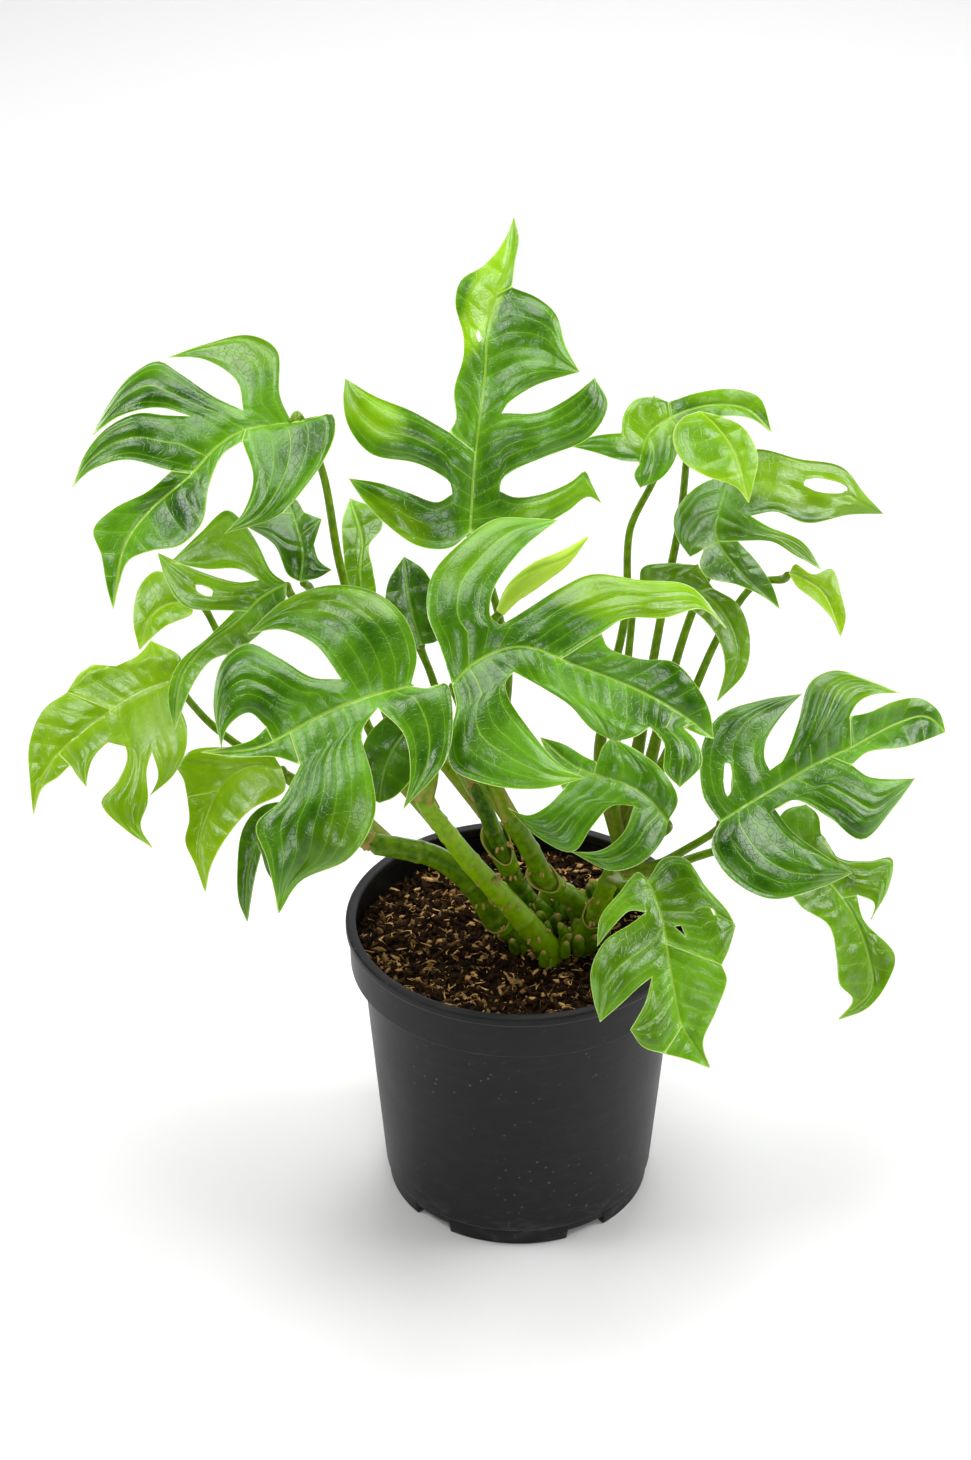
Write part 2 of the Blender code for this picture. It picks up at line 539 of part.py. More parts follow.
def blade_plane(name):
    behind, turned, raised = BLADE_PLANES[name]
    turn, lift = math.radians(turned), math.radians(raised)
    faces = np.array((math.sin(turn) * math.cos(lift), -math.cos(turn) * math.cos(lift), math.sin(lift)))
    return seen_at(*LEAVES[name]["midrib"][0], behind), faces


def blade_surface(name):
    """Points and triangles of one blade's upper face."""
    base, faces = blade_plane(name)
    eye = np.array(VIEW_PLACE)
    pixels, extras, corners = [], [], []
    count = 0
    for grid, ribs, station, lean, cup, beyond in blade_patches(LEAVES[name]):
        tall, wide = grid.shape[:2]
        distance = np.linalg.norm(grid - ribs, axis=2)
        beyond = np.broadcast_to(beyond, (tall, wide))
        station = np.broadcast_to(station, (tall, wide))
        pixels.append(grid.reshape(-1, 2))
        extras.append(np.stack([distance, station, lean, cup, beyond], axis=2).reshape(-1, 5))
        index = count + np.arange(tall * wide).reshape(tall, wide)
        a, b, c, d = index[:-1, :-1], index[1:, :-1], index[1:, 1:], index[:-1, 1:]
        corners += [np.stack([a, b, c], 2).reshape(-1, 3), np.stack([a, c, d], 2).reshape(-1, 3)]
        count += tall * wide
    pixels, extras, corners = np.vstack(pixels), np.vstack(extras), np.vstack(corners)
    _, keep, same = np.unique(np.round(pixels, 3), axis=0, return_index=True, return_inverse=True)
    pixels, extras, corners = pixels[keep], extras[keep], same.reshape(-1)[corners]
    corners = corners[(corners != np.roll(corners, 1, axis=1)).all(axis=1)]
    first, second, third = (pixels[corners[:, i]] for i in range(3))
    turn = np.cross(second - first, third - first)
    corners[turn > 0] = corners[turn > 0][:, ::-1]
    directions = line_of_sight(pixels)
    reach = ((base - eye) @ faces) / (directions @ faces)
    flat = eye + reach[:, None] * directions
    metres = np.linalg.norm(base - eye) / VIEW_FOCAL
    distance, station, lean, cup, beyond = extras.T
    length = np.linalg.norm(np.diff(smooth(LEAVES[name]["midrib"]), axis=0), axis=1).sum() * metres
    height = blade_height(distance * metres, station, lean * metres, cup, beyond, length)
    to_viewer = -directions / np.linalg.norm(directions, axis=1)[:, None]
    return flat + height[:, None] * to_viewer, corners


def drill_hole(blade, name, hole, collection):
    """Cuts one hole through a blade with an oval drill, turned along the line of sight."""
    x, y, long, wide, lean = hole
    base, faces = blade_plane(name)
    eye = np.array(VIEW_PLACE)
    direction = line_of_sight((x, y))[0]
    place = eye + ((base - eye) @ faces) / (direction @ faces) * direction
    metres = np.linalg.norm(place - eye) / VIEW_FOCAL
    turn = math.radians(lean)
    beside = line_of_sight((x + math.cos(turn), y + math.sin(turn)))[0] - direction
    away = Vector(direction).normalized()
    across = away.cross(Vector(beside)).normalized()
    bpy.ops.mesh.primitive_cylinder_add(vertices=HOLE_SIDES, radius=1, depth=HOLE_DEPTH)
    drill = cutter(f"drill_{name}_{x}", collection)
    drill.rotation_euler = Matrix((across.cross(away), across, away)).transposed().to_euler()
    drill.location = place
    drill.scale = (long * metres, wide * metres, 1)
    cut(blade, drill)


def make_blade(name, collection, cutters, finish):
    """One blade: its upper face in triangles, thickened downwards, then drilled."""
    points, corners = blade_surface(name)
    mesh = bpy.data.meshes.new(name)
    mesh.from_pydata(points.tolist(), [], corners.tolist())
    mesh.validate()
    shade_round(mesh, 60)
    made = add_object(name, mesh, collection, finish)
    thicken = made.modifiers.new("thickness", "SOLIDIFY")
    thicken.thickness = BLADE_THICKNESS
    thicken.offset = -1
    for hole in LEAF_HOLES.get(name, []):
        drill_hole(made, name, hole, cutters)
    return made


def blade_seat(name):
    """Where a stalk ends under a blade's base, and the way the blade faces there."""
    points, corners = blade_surface(name)
    base, _ = blade_plane(name)
    nearest = np.linalg.norm(points - base, axis=1).argmin()
    around = corners[(corners == nearest).any(axis=1)]
    first, second, third = (points[around[:, i]] for i in range(3))
    faces = np.cross(second - first, third - first).sum(axis=0)
    faces /= np.linalg.norm(faces)
    return points[nearest] - faces * (BLADE_THICKNESS + SEAT_GAP), faces


def tube(name, points, radii, sides_setting):
    """A closed tube along points, as a mesh object with welded caps."""
    curve = bpy.data.curves.new(name, "CURVE")
    curve.dimensions = "3D"
    curve.bevel_depth = 1.0
    curve.bevel_resolution = sides_setting
    curve.use_fill_caps = True
    spline = curve.splines.new("POLY")
    spline.points.add(len(points) - 1)
    for point, place, radius in zip(spline.points, points, radii):
        point.co = (*place, 1.0)
        point.radius = radius
    guide = bpy.data.objects.new(name + "_guide", curve)
    bpy.context.scene.collection.objects.link(guide)
    bpy.context.view_layer.update()
    evaluated = guide.evaluated_get(bpy.context.evaluated_depsgraph_get())
    mesh = bpy.data.meshes.new_from_object(evaluated)
    bpy.data.objects.remove(guide, do_unlink=True)
    shell = bmesh.new()
    shell.from_mesh(mesh)
    bmesh.ops.remove_doubles(shell, verts=shell.verts, dist=0.00001)
    bmesh.ops.recalc_face_normals(shell, faces=shell.faces)
    bmesh.ops.triangulate(shell, faces=shell.faces)
    shell.to_mesh(mesh)
    shell.free()
    mesh.name = name
    return mesh


def cane_course(stem):
    """The cane's centre line above the soil, and the upright run that is buried in its hole."""
    course = np.array([seen_at(*point) for point in stem["course"]])
    foot = course[0].copy()
    foot[2] = SOIL_LEVEL
    lift = foot + np.array((0, 0, CANE_UPRIGHT))
    above = along(smooth([lift, *course[1:]]), np.linspace(0, 1, CANE_STEPS))
    return foot, above


def stalk_course(start, way):
    leaf, _, passing = way
    if leaf == "leaf_furled":
        end = seen_at(*FURLED_COURSE[0])
        toward = seen_at(*FURLED_COURSE[1]) - end
        toward /= np.linalg.norm(toward)
        last = end - toward * SEAT_GAP
    else:
        last, toward = blade_seat(leaf)
    bend = last - toward * STALK_BEND
    route = smooth([start, *[seen_at(*point) for point in passing], bend, last])
    return along(route, np.linspace(0, 1, STALK_STEPS))


def make_stem(name, stem, collection, finish):
    """A cane with its swollen joints and the stalks that grow from it, joined into one body."""
    foot, above = cane_course(stem)
    low, high = stem["radii"]
    buried = foot - np.array((0, 0, SOIL_HOLE_DEPTH))
    line = np.vstack([buried, above])
    shares = np.linspace(0, 1, len(above))
    radii = low + (high - low) * shares
    radii[JOINT_EVERY::JOINT_EVERY] *= JOINT_SWELL
    radii[-1] *= CANE_TIP_SHARE
    radii = np.r_[low, radii]
    made = add_object(name, tube(name, line, radii, 2), collection, finish)
    grown = new_collection(name + "_stalks")
    for number, way in enumerate(stem["stalks"]):
        start = along(above, [way[1]])[0]
        route = stalk_course(start, way)
        thinned = np.linspace(0, 1, STALK_STEPS) ** STALK_THINNING
        thick = STALK_FOOT_RADIUS + (STALK_TIP_RADIUS - STALK_FOOT_RADIUS) * thinned
        add_object(f"{name}_stalk_{number}", tube(f"{name}_stalk_{number}", route, thick, 1), grown, finish)
    join = made.modifiers.new("stalks", "BOOLEAN")
    join.operation = "UNION"
    join.operand_type = "COLLECTION"
    join.collection = grown
    join.solver = "MANIFOLD"
    bpy.context.view_layer.update()
    evaluated = made.evaluated_get(bpy.context.evaluated_depsgraph_get())
    joined = bpy.data.meshes.new_from_object(evaluated)
    made.modifiers.clear()
    made.data = joined
    shade_round(joined)
    for stalk in list(grown.objects):
        bpy.data.objects.remove(stalk, do_unlink=True)
    bpy.data.collections.remove(grown)
    return made


def turned(name, profile, collection, finish):
    """A body turned round the upright axis from a profile of (radius, height) points."""
    mesh = bpy.data.meshes.new(name)
    count = len(profile)
    edges = [(i, i + 1) for i in range(count - 1)]
    mesh.from_pydata([(radius, 0.0, height) for radius, height in profile], edges, [])
    made = add_object(name, mesh, collection, finish)
    screw = made.modifiers.new("turn", "SCREW")
    screw.axis = "Z"
    screw.steps = POT_SIDES
    screw.render_steps = POT_SIDES
    screw.use_merge_vertices = True
    screw.merge_threshold = 0.00001
    return made


def cutter(name, collection):
    made = bpy.context.object
    made.name = name
    for home in list(made.users_collection):
        home.objects.unlink(made)
    collection.objects.link(made)
    made.parent = plant_place()
    made.hide_render = True
    made.display_type = "WIRE"
    return made


def cut(body, tool):
    change = body.modifiers.new(tool.name, "BOOLEAN")
    change.operation = "DIFFERENCE"
    change.object = tool
    change.solver = "EXACT"


def wall_radius(height):
    """Outer radius of the tapered wall under the band."""
    share = (height - FOOT_HEIGHT) / (POT_HEIGHT - BAND_HEIGHT - FOOT_HEIGHT)
    return WALL_FOOT_RADIUS + (WALL_TOP_RADIUS - WALL_FOOT_RADIUS) * share


def make_pot(collection, cutters, finish):
    """The pot: a thin tapered wall with a rim band, a lip rolled outwards, and a foot ring."""
    band_foot = POT_HEIGHT - BAND_HEIGHT
    shelf = band_foot + POT_WALL
    profile = [
        (0.0, FLOOR_TOP), (wall_radius(FLOOR_TOP) - POT_WALL, FLOOR_TOP),
        (wall_radius(band_foot) - POT_WALL, shelf), (BAND_RADIUS - POT_WALL, shelf + BAND_STEP),
        (BAND_RADIUS - POT_WALL, POT_HEIGHT - LIP_DEPTH - BAND_STEP),
        (LIP_RADIUS - LIP_WIDTH, POT_HEIGHT - LIP_DEPTH),
        (LIP_RADIUS - LIP_WIDTH, POT_HEIGHT - EDGE_ROUND), (LIP_RADIUS - LIP_WIDTH + EDGE_ROUND, POT_HEIGHT),
        (LIP_RADIUS - EDGE_ROUND, POT_HEIGHT), (LIP_RADIUS, POT_HEIGHT - EDGE_ROUND),
        (LIP_RADIUS, POT_HEIGHT - LIP_DEPTH), (BAND_RADIUS + EDGE_ROUND, POT_HEIGHT - LIP_DEPTH - EDGE_ROUND),
        (BAND_RADIUS, band_foot + EDGE_ROUND), (BAND_RADIUS - EDGE_ROUND, band_foot),
        (WALL_TOP_RADIUS, band_foot), (WALL_FOOT_RADIUS, FOOT_HEIGHT),
        (FOOT_RADIUS, FOOT_HEIGHT - EDGE_ROUND), (FOOT_RADIUS, EDGE_ROUND), (FOOT_RADIUS - EDGE_ROUND, 0.0),
        (FOOT_RADIUS - FOOT_WIDTH, 0.0), (FOOT_RADIUS - FOOT_WIDTH, FLOOR_TOP - POT_WALL),
        (0.0, FLOOR_TOP - POT_WALL),
    ]
    pot = turned("pot", profile, collection, finish)
    for number in range(FOOT_NOTCHES):
        angle = math.radians(FIRST_NOTCH_DEGREES) + 2 * math.pi * number / FOOT_NOTCHES
        bpy.ops.mesh.primitive_cube_add(size=1)
        notch = cutter(f"foot_notch_{number}", cutters)
        notch.scale = (4 * FOOT_WIDTH, NOTCH_WIDTH, 2 * NOTCH_HEIGHT)
        notch.rotation_euler = (0, 0, angle)
        notch.location = (FOOT_RADIUS * math.cos(angle), FOOT_RADIUS * math.sin(angle), 0)
        cut(pot, notch)
    for number in range(DRAIN_HOLES):
        angle = 2 * math.pi * number / DRAIN_HOLES
        bpy.ops.mesh.primitive_cylinder_add(vertices=DRAIN_SIDES, radius=DRAIN_RADIUS, depth=4 * POT_WALL)
        hole = cutter(f"drain_hole_{number}", cutters)
        hole.location = (DRAIN_CIRCLE * math.cos(angle), DRAIN_CIRCLE * math.sin(angle), FLOOR_TOP - POT_WALL)
        cut(pot, hole)
    return pot


def make_soil(collection, cutters, finish):
    """The soil fills the pot a hair clear of its wall. Its top is uneven, with a plain hole for each cane."""
    band_foot = POT_HEIGHT - BAND_HEIGHT
    shelf = band_foot + POT_WALL
    edge = BAND_RADIUS - POT_WALL - CLEARANCE
    rings = np.linspace(1, 0, SOIL_RINGS)
    floor = FLOOR_TOP + CLEARANCE
    profile = [(edge * share, SOIL_LEVEL) for share in rings[::-1]]
    profile += [(edge, shelf + BAND_STEP + CLEARANCE),
                (wall_radius(band_foot) - POT_WALL - CLEARANCE, shelf + CLEARANCE),
                (wall_radius(floor) - POT_WALL - CLEARANCE, floor), (0.0, floor)]
    soil = turned("soil", profile, collection, finish)
    bpy.context.view_layer.update()
    evaluated = soil.evaluated_get(bpy.context.evaluated_depsgraph_get())
    mesh = bpy.data.meshes.new_from_object(evaluated)
    soil.modifiers.clear()
    soil.data = mesh
    count = len(mesh.vertices)
    places = np.empty(count * 3)
    mesh.vertices.foreach_get("co", places)
    places = places.reshape(-1, 3)
    x, y, z = places.T
    top = (z > SOIL_LEVEL - CLEARANCE) & (np.hypot(x, y) < edge - CLEARANCE)
    waves = np.sin(x * SOIL_WAVES[0] + SOIL_WAVE_START[0]) * np.cos(y * SOIL_WAVES[1] + SOIL_WAVE_START[1])
    slanted = np.sin(x * SOIL_SLANT_WAVES[0] - y * SOIL_SLANT_WAVES[1])
    relief = (waves + SOIL_SLANT_SHARE * slanted) / (1 + SOIL_SLANT_SHARE)
    places[:, 2] = np.where(top, z + SOIL_RELIEF * relief, z)
    mesh.vertices.foreach_set("co", places.ravel())
    shell = bmesh.new()
    shell.from_mesh(mesh)
    bmesh.ops.triangulate(shell, faces=shell.faces)
    shell.to_mesh(mesh)
    shell.free()
    for name, stem in STEMS.items():
        foot, _ = cane_course(stem)
        deep = SOIL_HOLE_DEPTH + CLEARANCE
        wide = stem["radii"][0] + HOLE_CLEARANCE
        bpy.ops.mesh.primitive_cylinder_add(vertices=CANE_HOLE_SIDES, radius=wide, depth=2 * deep)
        hole = cutter(f"hole_for_{name}", cutters)
        hole.location = foot
        cut(soil, hole)
    return soil


def make_furled_leaf(collection, finish):
    """The new leaf, rolled into a spindle that is thickest below its middle."""
    radii = FURLED_RADIUS * np.array(FURLED_THICKNESS)
    line = along(smooth([seen_at(*point) for point in FURLED_COURSE]), np.linspace(0, 1, len(radii)))
    mesh = tube("leaf_furled", line, radii, 2)
    shade_round(mesh, 60)
    return add_object("leaf_furled", mesh, collection, finish)


def main():
    clear_scene()
    parts = new_collection("mini_monstera")
    cutters = new_collection("cutters")
    make_pot(parts, cutters, material("pot_plastic", POT_BLACK, 0.45))
    make_soil(parts, cutters, material("potting_mix", SOIL_BROWN, 0.95))
    stalk_green = material("stalk_green", STALK_GREEN, 0.45)
    for name, stem in STEMS.items():
        make_stem(name, stem, parts, stalk_green)
    greens = {"leaf_green": LEAF_GREEN, "leaf_lime": LEAF_LIME, "leaf_dark": LEAF_DARK}
    finishes = {tone: material(tone, colour, 0.35) for tone, colour in greens.items()}
    for name in LEAVES:
        tone = "leaf_lime" if name in LIME_LEAVES else "leaf_dark" if name in DARK_LEAVES else "leaf_green"
        make_blade(name, parts, cutters, finishes[tone])
    make_furled_leaf(parts, material("new_leaf", NEW_LEAF_LIME, 0.4))


main()
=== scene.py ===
"""A mini monstera in a plastic nursery pot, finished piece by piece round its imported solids."""

import math

import bpy
import numpy as np
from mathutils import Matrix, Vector


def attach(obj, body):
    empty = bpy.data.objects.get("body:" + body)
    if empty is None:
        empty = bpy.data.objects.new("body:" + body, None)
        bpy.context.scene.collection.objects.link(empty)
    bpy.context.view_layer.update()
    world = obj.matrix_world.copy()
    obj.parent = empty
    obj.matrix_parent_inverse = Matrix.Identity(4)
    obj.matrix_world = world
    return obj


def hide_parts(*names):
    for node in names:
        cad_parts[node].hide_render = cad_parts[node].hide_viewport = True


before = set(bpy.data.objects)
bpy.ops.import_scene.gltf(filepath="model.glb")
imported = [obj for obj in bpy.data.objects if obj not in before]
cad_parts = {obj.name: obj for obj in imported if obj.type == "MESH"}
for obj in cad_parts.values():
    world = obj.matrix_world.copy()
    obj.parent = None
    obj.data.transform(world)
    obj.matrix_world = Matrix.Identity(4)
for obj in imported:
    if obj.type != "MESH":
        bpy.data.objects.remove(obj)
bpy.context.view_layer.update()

# Camera. It stands where the photograph was taken from, in front of the pot and above it, looking down on
# the leaves through a long portrait lens held level.
POT_AXIS = np.array((0.0114, 0.0047, 0.0))
VIEW_PLACE = POT_AXIS + (-0.0146, -1.2202, 0.9890)
VIEW_TILT = math.radians(31.9)
LENS_LENGTH = 0.085
FRAME_TALL = 0.036
PHOTO_WIDE, PHOTO_TALL = 971.0, 1460.0
VIEW_FOCAL = LENS_LENGTH / FRAME_TALL * PHOTO_TALL

photo_view = bpy.data.cameras.new("photo_view")
photo_view.lens = 1000 * LENS_LENGTH
photo_view.sensor_width = 1000 * FRAME_TALL
camera = bpy.data.objects.new("photo_view", photo_view)
camera.location = VIEW_PLACE
camera.rotation_euler = (math.pi / 2 - VIEW_TILT, 0, 0)
bpy.context.scene.collection.objects.link(camera)
bpy.context.scene.camera = camera
bpy.context.scene.view_settings.view_transform = "Standard"


# Studio. A white paper floor lies between low white walls under a dark ceiling. Broad soft lights hang over
# the plant, behind it, in front and on both sides, so that its shadow is faint all round.
FLOOR_REACH = 1.7
PAPER_WHITE = (0.90, 0.90, 0.90, 1.0)
WALL_WHITE = (1.0, 1.0, 1.0, 1.0)
WALL_TOP, CEILING_FOOT = 0.02, 0.30
WALL_LIGHT, CEILING_LIGHT = 3.5, 0.04
FRONT_WALL, SIDE_WALL = -0.7, 0.3
FRONT_SHARE = 0.22


class Finish:
    """The node tree of a finish while it is put together. Each step gives back the socket that it ends in,
    and takes such sockets or plain values."""

    def __init__(self, owner):
        if not isinstance(owner, bpy.types.NodeTree):
            owner.use_nodes = True
        self.owner, self.tree = owner, getattr(owner, "node_tree", owner)

    def put(self, node, **settings):
        """Adds a node, or takes one by name, and sets its properties. A setting that starts with in_ is an
        input, by its name or number."""
        node = self.tree.nodes.get(node) or self.tree.nodes.new(node)
        for key, value in settings.items():
            if not key.startswith("in_"):
                setattr(node, key, value)
                continue
            name = key[3:].replace("_", " ")
            socket = node.inputs[int(name) if name.isdigit() else name]
            if isinstance(value, bpy.types.NodeSocket):
                self.tree.links.new(value, socket)
            elif value is not None:
                socket.default_value = value
        return node.outputs

    def skin(self, **settings):
        """Sets the surface shader and gives back the finished material."""
        self.put("Principled BSDF", **settings)
        return self.owner

    def place(self):
        return self.put("ShaderNodeTexCoord")["Object"]

    def mark(self, name):
        """A number that the mesh carries at each point or corner."""
        return self.put("ShaderNodeAttribute", attribute_name=name)["Fac"]

    def noise(self, place, scale, detail, roughness=0.5, distortion=0.0):
        return self.put("ShaderNodeTexNoise", in_Vector=place, in_Scale=scale, in_Detail=detail,
                        in_Roughness=roughness, in_Distortion=distortion)["Fac"]

    def cells(self, place, scale, feature="F1"):
        """Distance to the nearest chance point, or to the edge between the nearest two."""
        found = self.put("ShaderNodeTexVoronoi", feature=feature, in_Vector=place, in_Scale=scale)
        return found["Distance"]

    def turned(self, place, scale, rotation):
        put = self.put("ShaderNodeMapping", in_Vector=place, in_Scale=scale, in_Rotation=rotation)
        return put["Vector"]

    def maths(self, operation, a, b=None, c=None, clamp=False):
        step = self.put("ShaderNodeMath", operation=operation, use_clamp=clamp, in_0=a, in_1=b, in_2=c)
        return step["Value"]

    def weighed(self, *parts):
        """The sum of the parts, each times its weight."""
        total = 0.0
        for part, weight in parts:
            total = self.maths("MULTIPLY_ADD", part, weight, total)
        return total

    def fade(self, value, start, end, first=0.0, last=1.0, kind="LINEAR"):
        """First below start, last above end, and in between a straight or smooth change."""
        return self.put("ShaderNodeMapRange", interpolation_type=kind, in_Value=value, in_1=start, in_2=end,
                        in_3=first, in_4=last)["Result"]

    def mixed(self, share, a, b):
        return self.put("ShaderNodeMix", data_type="RGBA", in_Factor=share, in_6=a, in_7=b)[2]

    def bump(self, height, strength, distance):
        relief = self.put("ShaderNodeBump", in_Height=height, in_Strength=strength, in_Distance=distance)
        return relief["Normal"]

    def ramp(self, value, *stops):
        """A colour ramp through the given places and colours. A plain number as colour is a grey."""
        colour = self.put("ShaderNodeValToRGB", in_Fac=value)["Color"]
        row = colour.node.color_ramp.elements
        while len(row) < len(stops):
            row.new(0.5)
        for stop, (place, tone) in zip(row, stops):
            stop.position = place
            stop.color = (tone, tone, tone, 1) if isinstance(tone, int) else tone
        return colour


def soft_light(name, place, aim, size, watts):
    """A square soft light at place, turned so that its face looks at aim."""
    lamp = bpy.data.lights.new(name, "AREA")
    lamp.shape = "SQUARE"
    lamp.size = size
    lamp.energy = watts
    stand = bpy.data.objects.new(name, lamp)
    stand.location = place
    stand.rotation_euler = (Vector(place) - Vector(aim)).to_track_quat("Z", "Y").to_euler()
    bpy.context.scene.collection.objects.link(stand)


paper = bpy.data.meshes.new("paper_floor")
floor_corners = [(FLOOR_REACH * x, FLOOR_REACH * y, 0) for x, y in ((-1, -1), (1, -1), (1, 1), (-1, 1))]
paper.from_pydata(floor_corners, [], [(0, 1, 2, 3)])
paper.materials.append(Finish(bpy.data.materials.new("floor_paper")).skin(
    in_Base_Color=PAPER_WHITE, in_Roughness=0.9, in_Specular_IOR_Level=0.1))
floor = bpy.data.objects.new("paper_floor", paper)
bpy.context.scene.collection.objects.link(floor)

walls = Finish(bpy.data.worlds.new("white_walls"))
way = walls.put("ShaderNodeSeparateXYZ", in_Vector=walls.put("ShaderNodeTexCoord")["Generated"])
by_height = walls.fade(way["Z"], WALL_TOP, CEILING_FOOT, WALL_LIGHT, CEILING_LIGHT, kind="SMOOTHSTEP")
by_side = walls.fade(way["Y"], FRONT_WALL, SIDE_WALL, FRONT_SHARE, kind="SMOOTHSTEP")
walls.put("Background", in_Strength=walls.maths("MULTIPLY", by_height, by_side), in_Color=WALL_WHITE)
bpy.context.scene.world = walls.owner

soft_light("key_light", (-0.12, 0.16, 1.70), (0, 0, 0.20), 0.90, 15.0)
soft_light("back_light", (0.15, 1.45, 1.60), (0, 1.10, 0), 1.20, 18.0)
soft_light("left_light", (-1.05, -0.10, 1.35), (0, 0, 0.25), 0.60, 9.0)
soft_light("right_light", (1.05, 0.00, 1.20), (0, 0, 0.25), 0.70, 12.0)
soft_light("front_light", (0.15, -1.75, 1.30), (0, -0.2, 0.1), 0.80, 11.0)


# Pot. A thin injection-moulded nursery pot of black plastic: a tapered wall, a wider band below a rolled
# lip, and a foot ring with notches that let water out. Its satin skin is scuffed and dusty from handling.
# Pale lines round the pot's band, foot and lip are painted highlights, over its real scuffs and dust
POT_HEIGHT = 0.135
LIP_RADIUS = 0.075
LIP_WIDTH = 0.0046
LIP_DEPTH = 0.0036
BAND_RADIUS = 0.0735
BAND_FOOT = 0.114
WALL_TOP_RADIUS = 0.0680
WALL_FOOT_RADIUS = 0.0592
FOOT_RADIUS = 0.0580
FOOT_HEIGHT = 0.009
FOOT_WIDTH = 0.0040
FLOOR_TOP = 0.0065
POT_WALL = 0.0016
SMALL_STEP = 0.0008
POT_ROUNDING = 0.0009
POT_SIDES = 192
FOOT_NOTCHES = 5
NOTCH_HEIGHT = 0.0045
NOTCH_WIDTH = 0.019
NOTCH_TOP_SHARE, NOTCH_FOOT_SHARE = 0.97, 1.03
FIRST_NOTCH = math.radians(-131)
DRAIN_HOLES = 6
DRAIN_RADIUS = 0.004
DRAIN_CIRCLE = 0.038
POT_CHARCOAL = (0.0070, 0.0071, 0.0074, 1.0)
POT_DUST_AND_HIGHLIGHT = (0.10, 0.098, 0.095, 1.0)
# Pale lines painted at the pot's edge heights as highlights: their height and how much
EDGE_HIGHLIGHTS = ((BAND_FOOT, 0.55), (FOOT_HEIGHT, 0.25), (POT_HEIGHT - LIP_DEPTH, 0.30), (0.0003, 0.45))
EDGE_HIGHLIGHT_HALF_WIDTH = 0.00035


def grid_quads(tall, wide):
    """The quads of a grid of tall by wide points that are numbered along its rows."""
    number = np.arange(tall * wide).reshape(tall, wide)
    return np.stack([number[:-1, :-1], number[1:, :-1], number[1:, 1:], number[:-1, 1:]], 2).reshape(-1, 4)


def halved(quads):
    """Each quad as two triangles."""
    return np.vstack([quads[:, [0, 1, 2]], quads[:, [0, 2, 3]]])


def not_flat(corners):
    """True for each triangle whose three corners are three points."""
    a, b, c = corners.T
    return (a != b) & (b != c) & (a != c)


def welded(points, quads):
    """Triangles of the quads, with points that lie within a hundredth of a millimetre made one. Flat
    triangles go, and all are turned round where the volume that they enclose comes out negative. Also which
    points stay."""
    _, keep, same = np.unique(np.round(points, 5), axis=0, return_index=True, return_inverse=True)
    corners = same.reshape(-1)[halved(quads)]
    corners = corners[not_flat(corners)]
    points = points[keep]
    volume = (np.cross(points[corners[:, 0]], points[corners[:, 1]]) * points[corners[:, 2]]).sum()
    return points, corners[:, ::-1] if volume < 0 else corners, keep


def plant_piece(name, points, corners, finish, node, slot, marks=None):
    """One piece as a mesh whose object stays at the origin. It rides with the plant and stands for its
    solid. Marks are named numbers, one for each point, or one for each corner of each triangle, that its
    finish reads."""
    mesh = bpy.data.meshes.new(name)
    mesh.from_pydata(points.tolist(), [], corners.tolist())
    for mark, values in (marks or {}).items():
        layer = mesh.attributes.new(mark, "FLOAT", "CORNER" if values.ndim == 2 else "POINT")
        layer.data.foreach_set("value", np.ascontiguousarray(values, np.float32).ravel())
    mesh.shade_smooth()
    mesh.materials.append(finish)
    piece = bpy.data.objects.new(name, mesh)
    bpy.context.scene.collection.objects.link(piece)
    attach(piece, "root")
    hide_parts(node)
    return piece


def rounded(profile, reach, steps=4):
    """A profile with each inner corner turned into a short arc: the quadratic curve from reach before the
    corner to reach after it, with the corner as its control point."""
    before, corner, after = profile[:-2], profile[1:-1], profile[2:]
    back, on = before - corner, after - corner
    back_length, on_length = (np.linalg.norm(edge, axis=1)[:, None] for edge in (back, on))
    start = corner + back / back_length * np.minimum(reach, 0.45 * back_length)
    end = corner + on / on_length * np.minimum(reach, 0.45 * on_length)
    share = np.linspace(0, 1, steps)[None, :, None]
    left = 1 - share
    arcs = left**2 * start[:, None] + 2 * share * left * corner[:, None] + share**2 * end[:, None]
    return np.vstack([profile[:1], arcs.reshape(-1, 2), profile[-1:]])


def turned(profile, angles):
    """A profile of radius and height carried round the pot's axis: x is radius times cosine, y radius times
    sine."""
    radius, height = profile.T[:, :, None]
    x, y = radius * np.cos(angles), radius * np.sin(angles)
    return np.stack([x, y, np.broadcast_to(height, x.shape)], 2) + POT_AXIS


def inner_radius(height):
    """Inside radius of the tapered wall, which widens evenly with height."""
    share = (height - FOOT_HEIGHT) / (BAND_FOOT - FOOT_HEIGHT)
    return WALL_FOOT_RADIUS + (WALL_TOP_RADIUS - WALL_FOOT_RADIUS) * share - POT_WALL


plastic = Finish(bpy.data.materials.new("pot_plastic"))
place = plastic.place()
height = plastic.put("ShaderNodeSeparateXYZ", in_Vector=place)["Z"]
cloud = plastic.noise(place, 22.0, 5.0, 0.6)
scuffs = plastic.noise(plastic.turned(place, (0.35, 0.35, 1.0), (0.3, 0.2, 0.0)), 260.0, 3.0, 0.7)
scratches = plastic.noise(plastic.turned(place, (1.0, 1.0, 14.0), (0.25, -0.3, 0.0)), 40.0, 8.0, 0.75, 0.4)
scratch_lines = plastic.ramp(scratches, (0.0, 0), (0.66, 0), (0.70, 1))
specks = plastic.ramp(plastic.cells(place, 230.0), (0.0, 1), (0.10, 1), (0.16, 0))
dusty_specks = plastic.maths("MULTIPLY", specks, plastic.ramp(cloud, (0.48, 0), (0.66, 1)))
low_dust = plastic.fade(height, 0.0, 0.022, 0.55, 0.06)
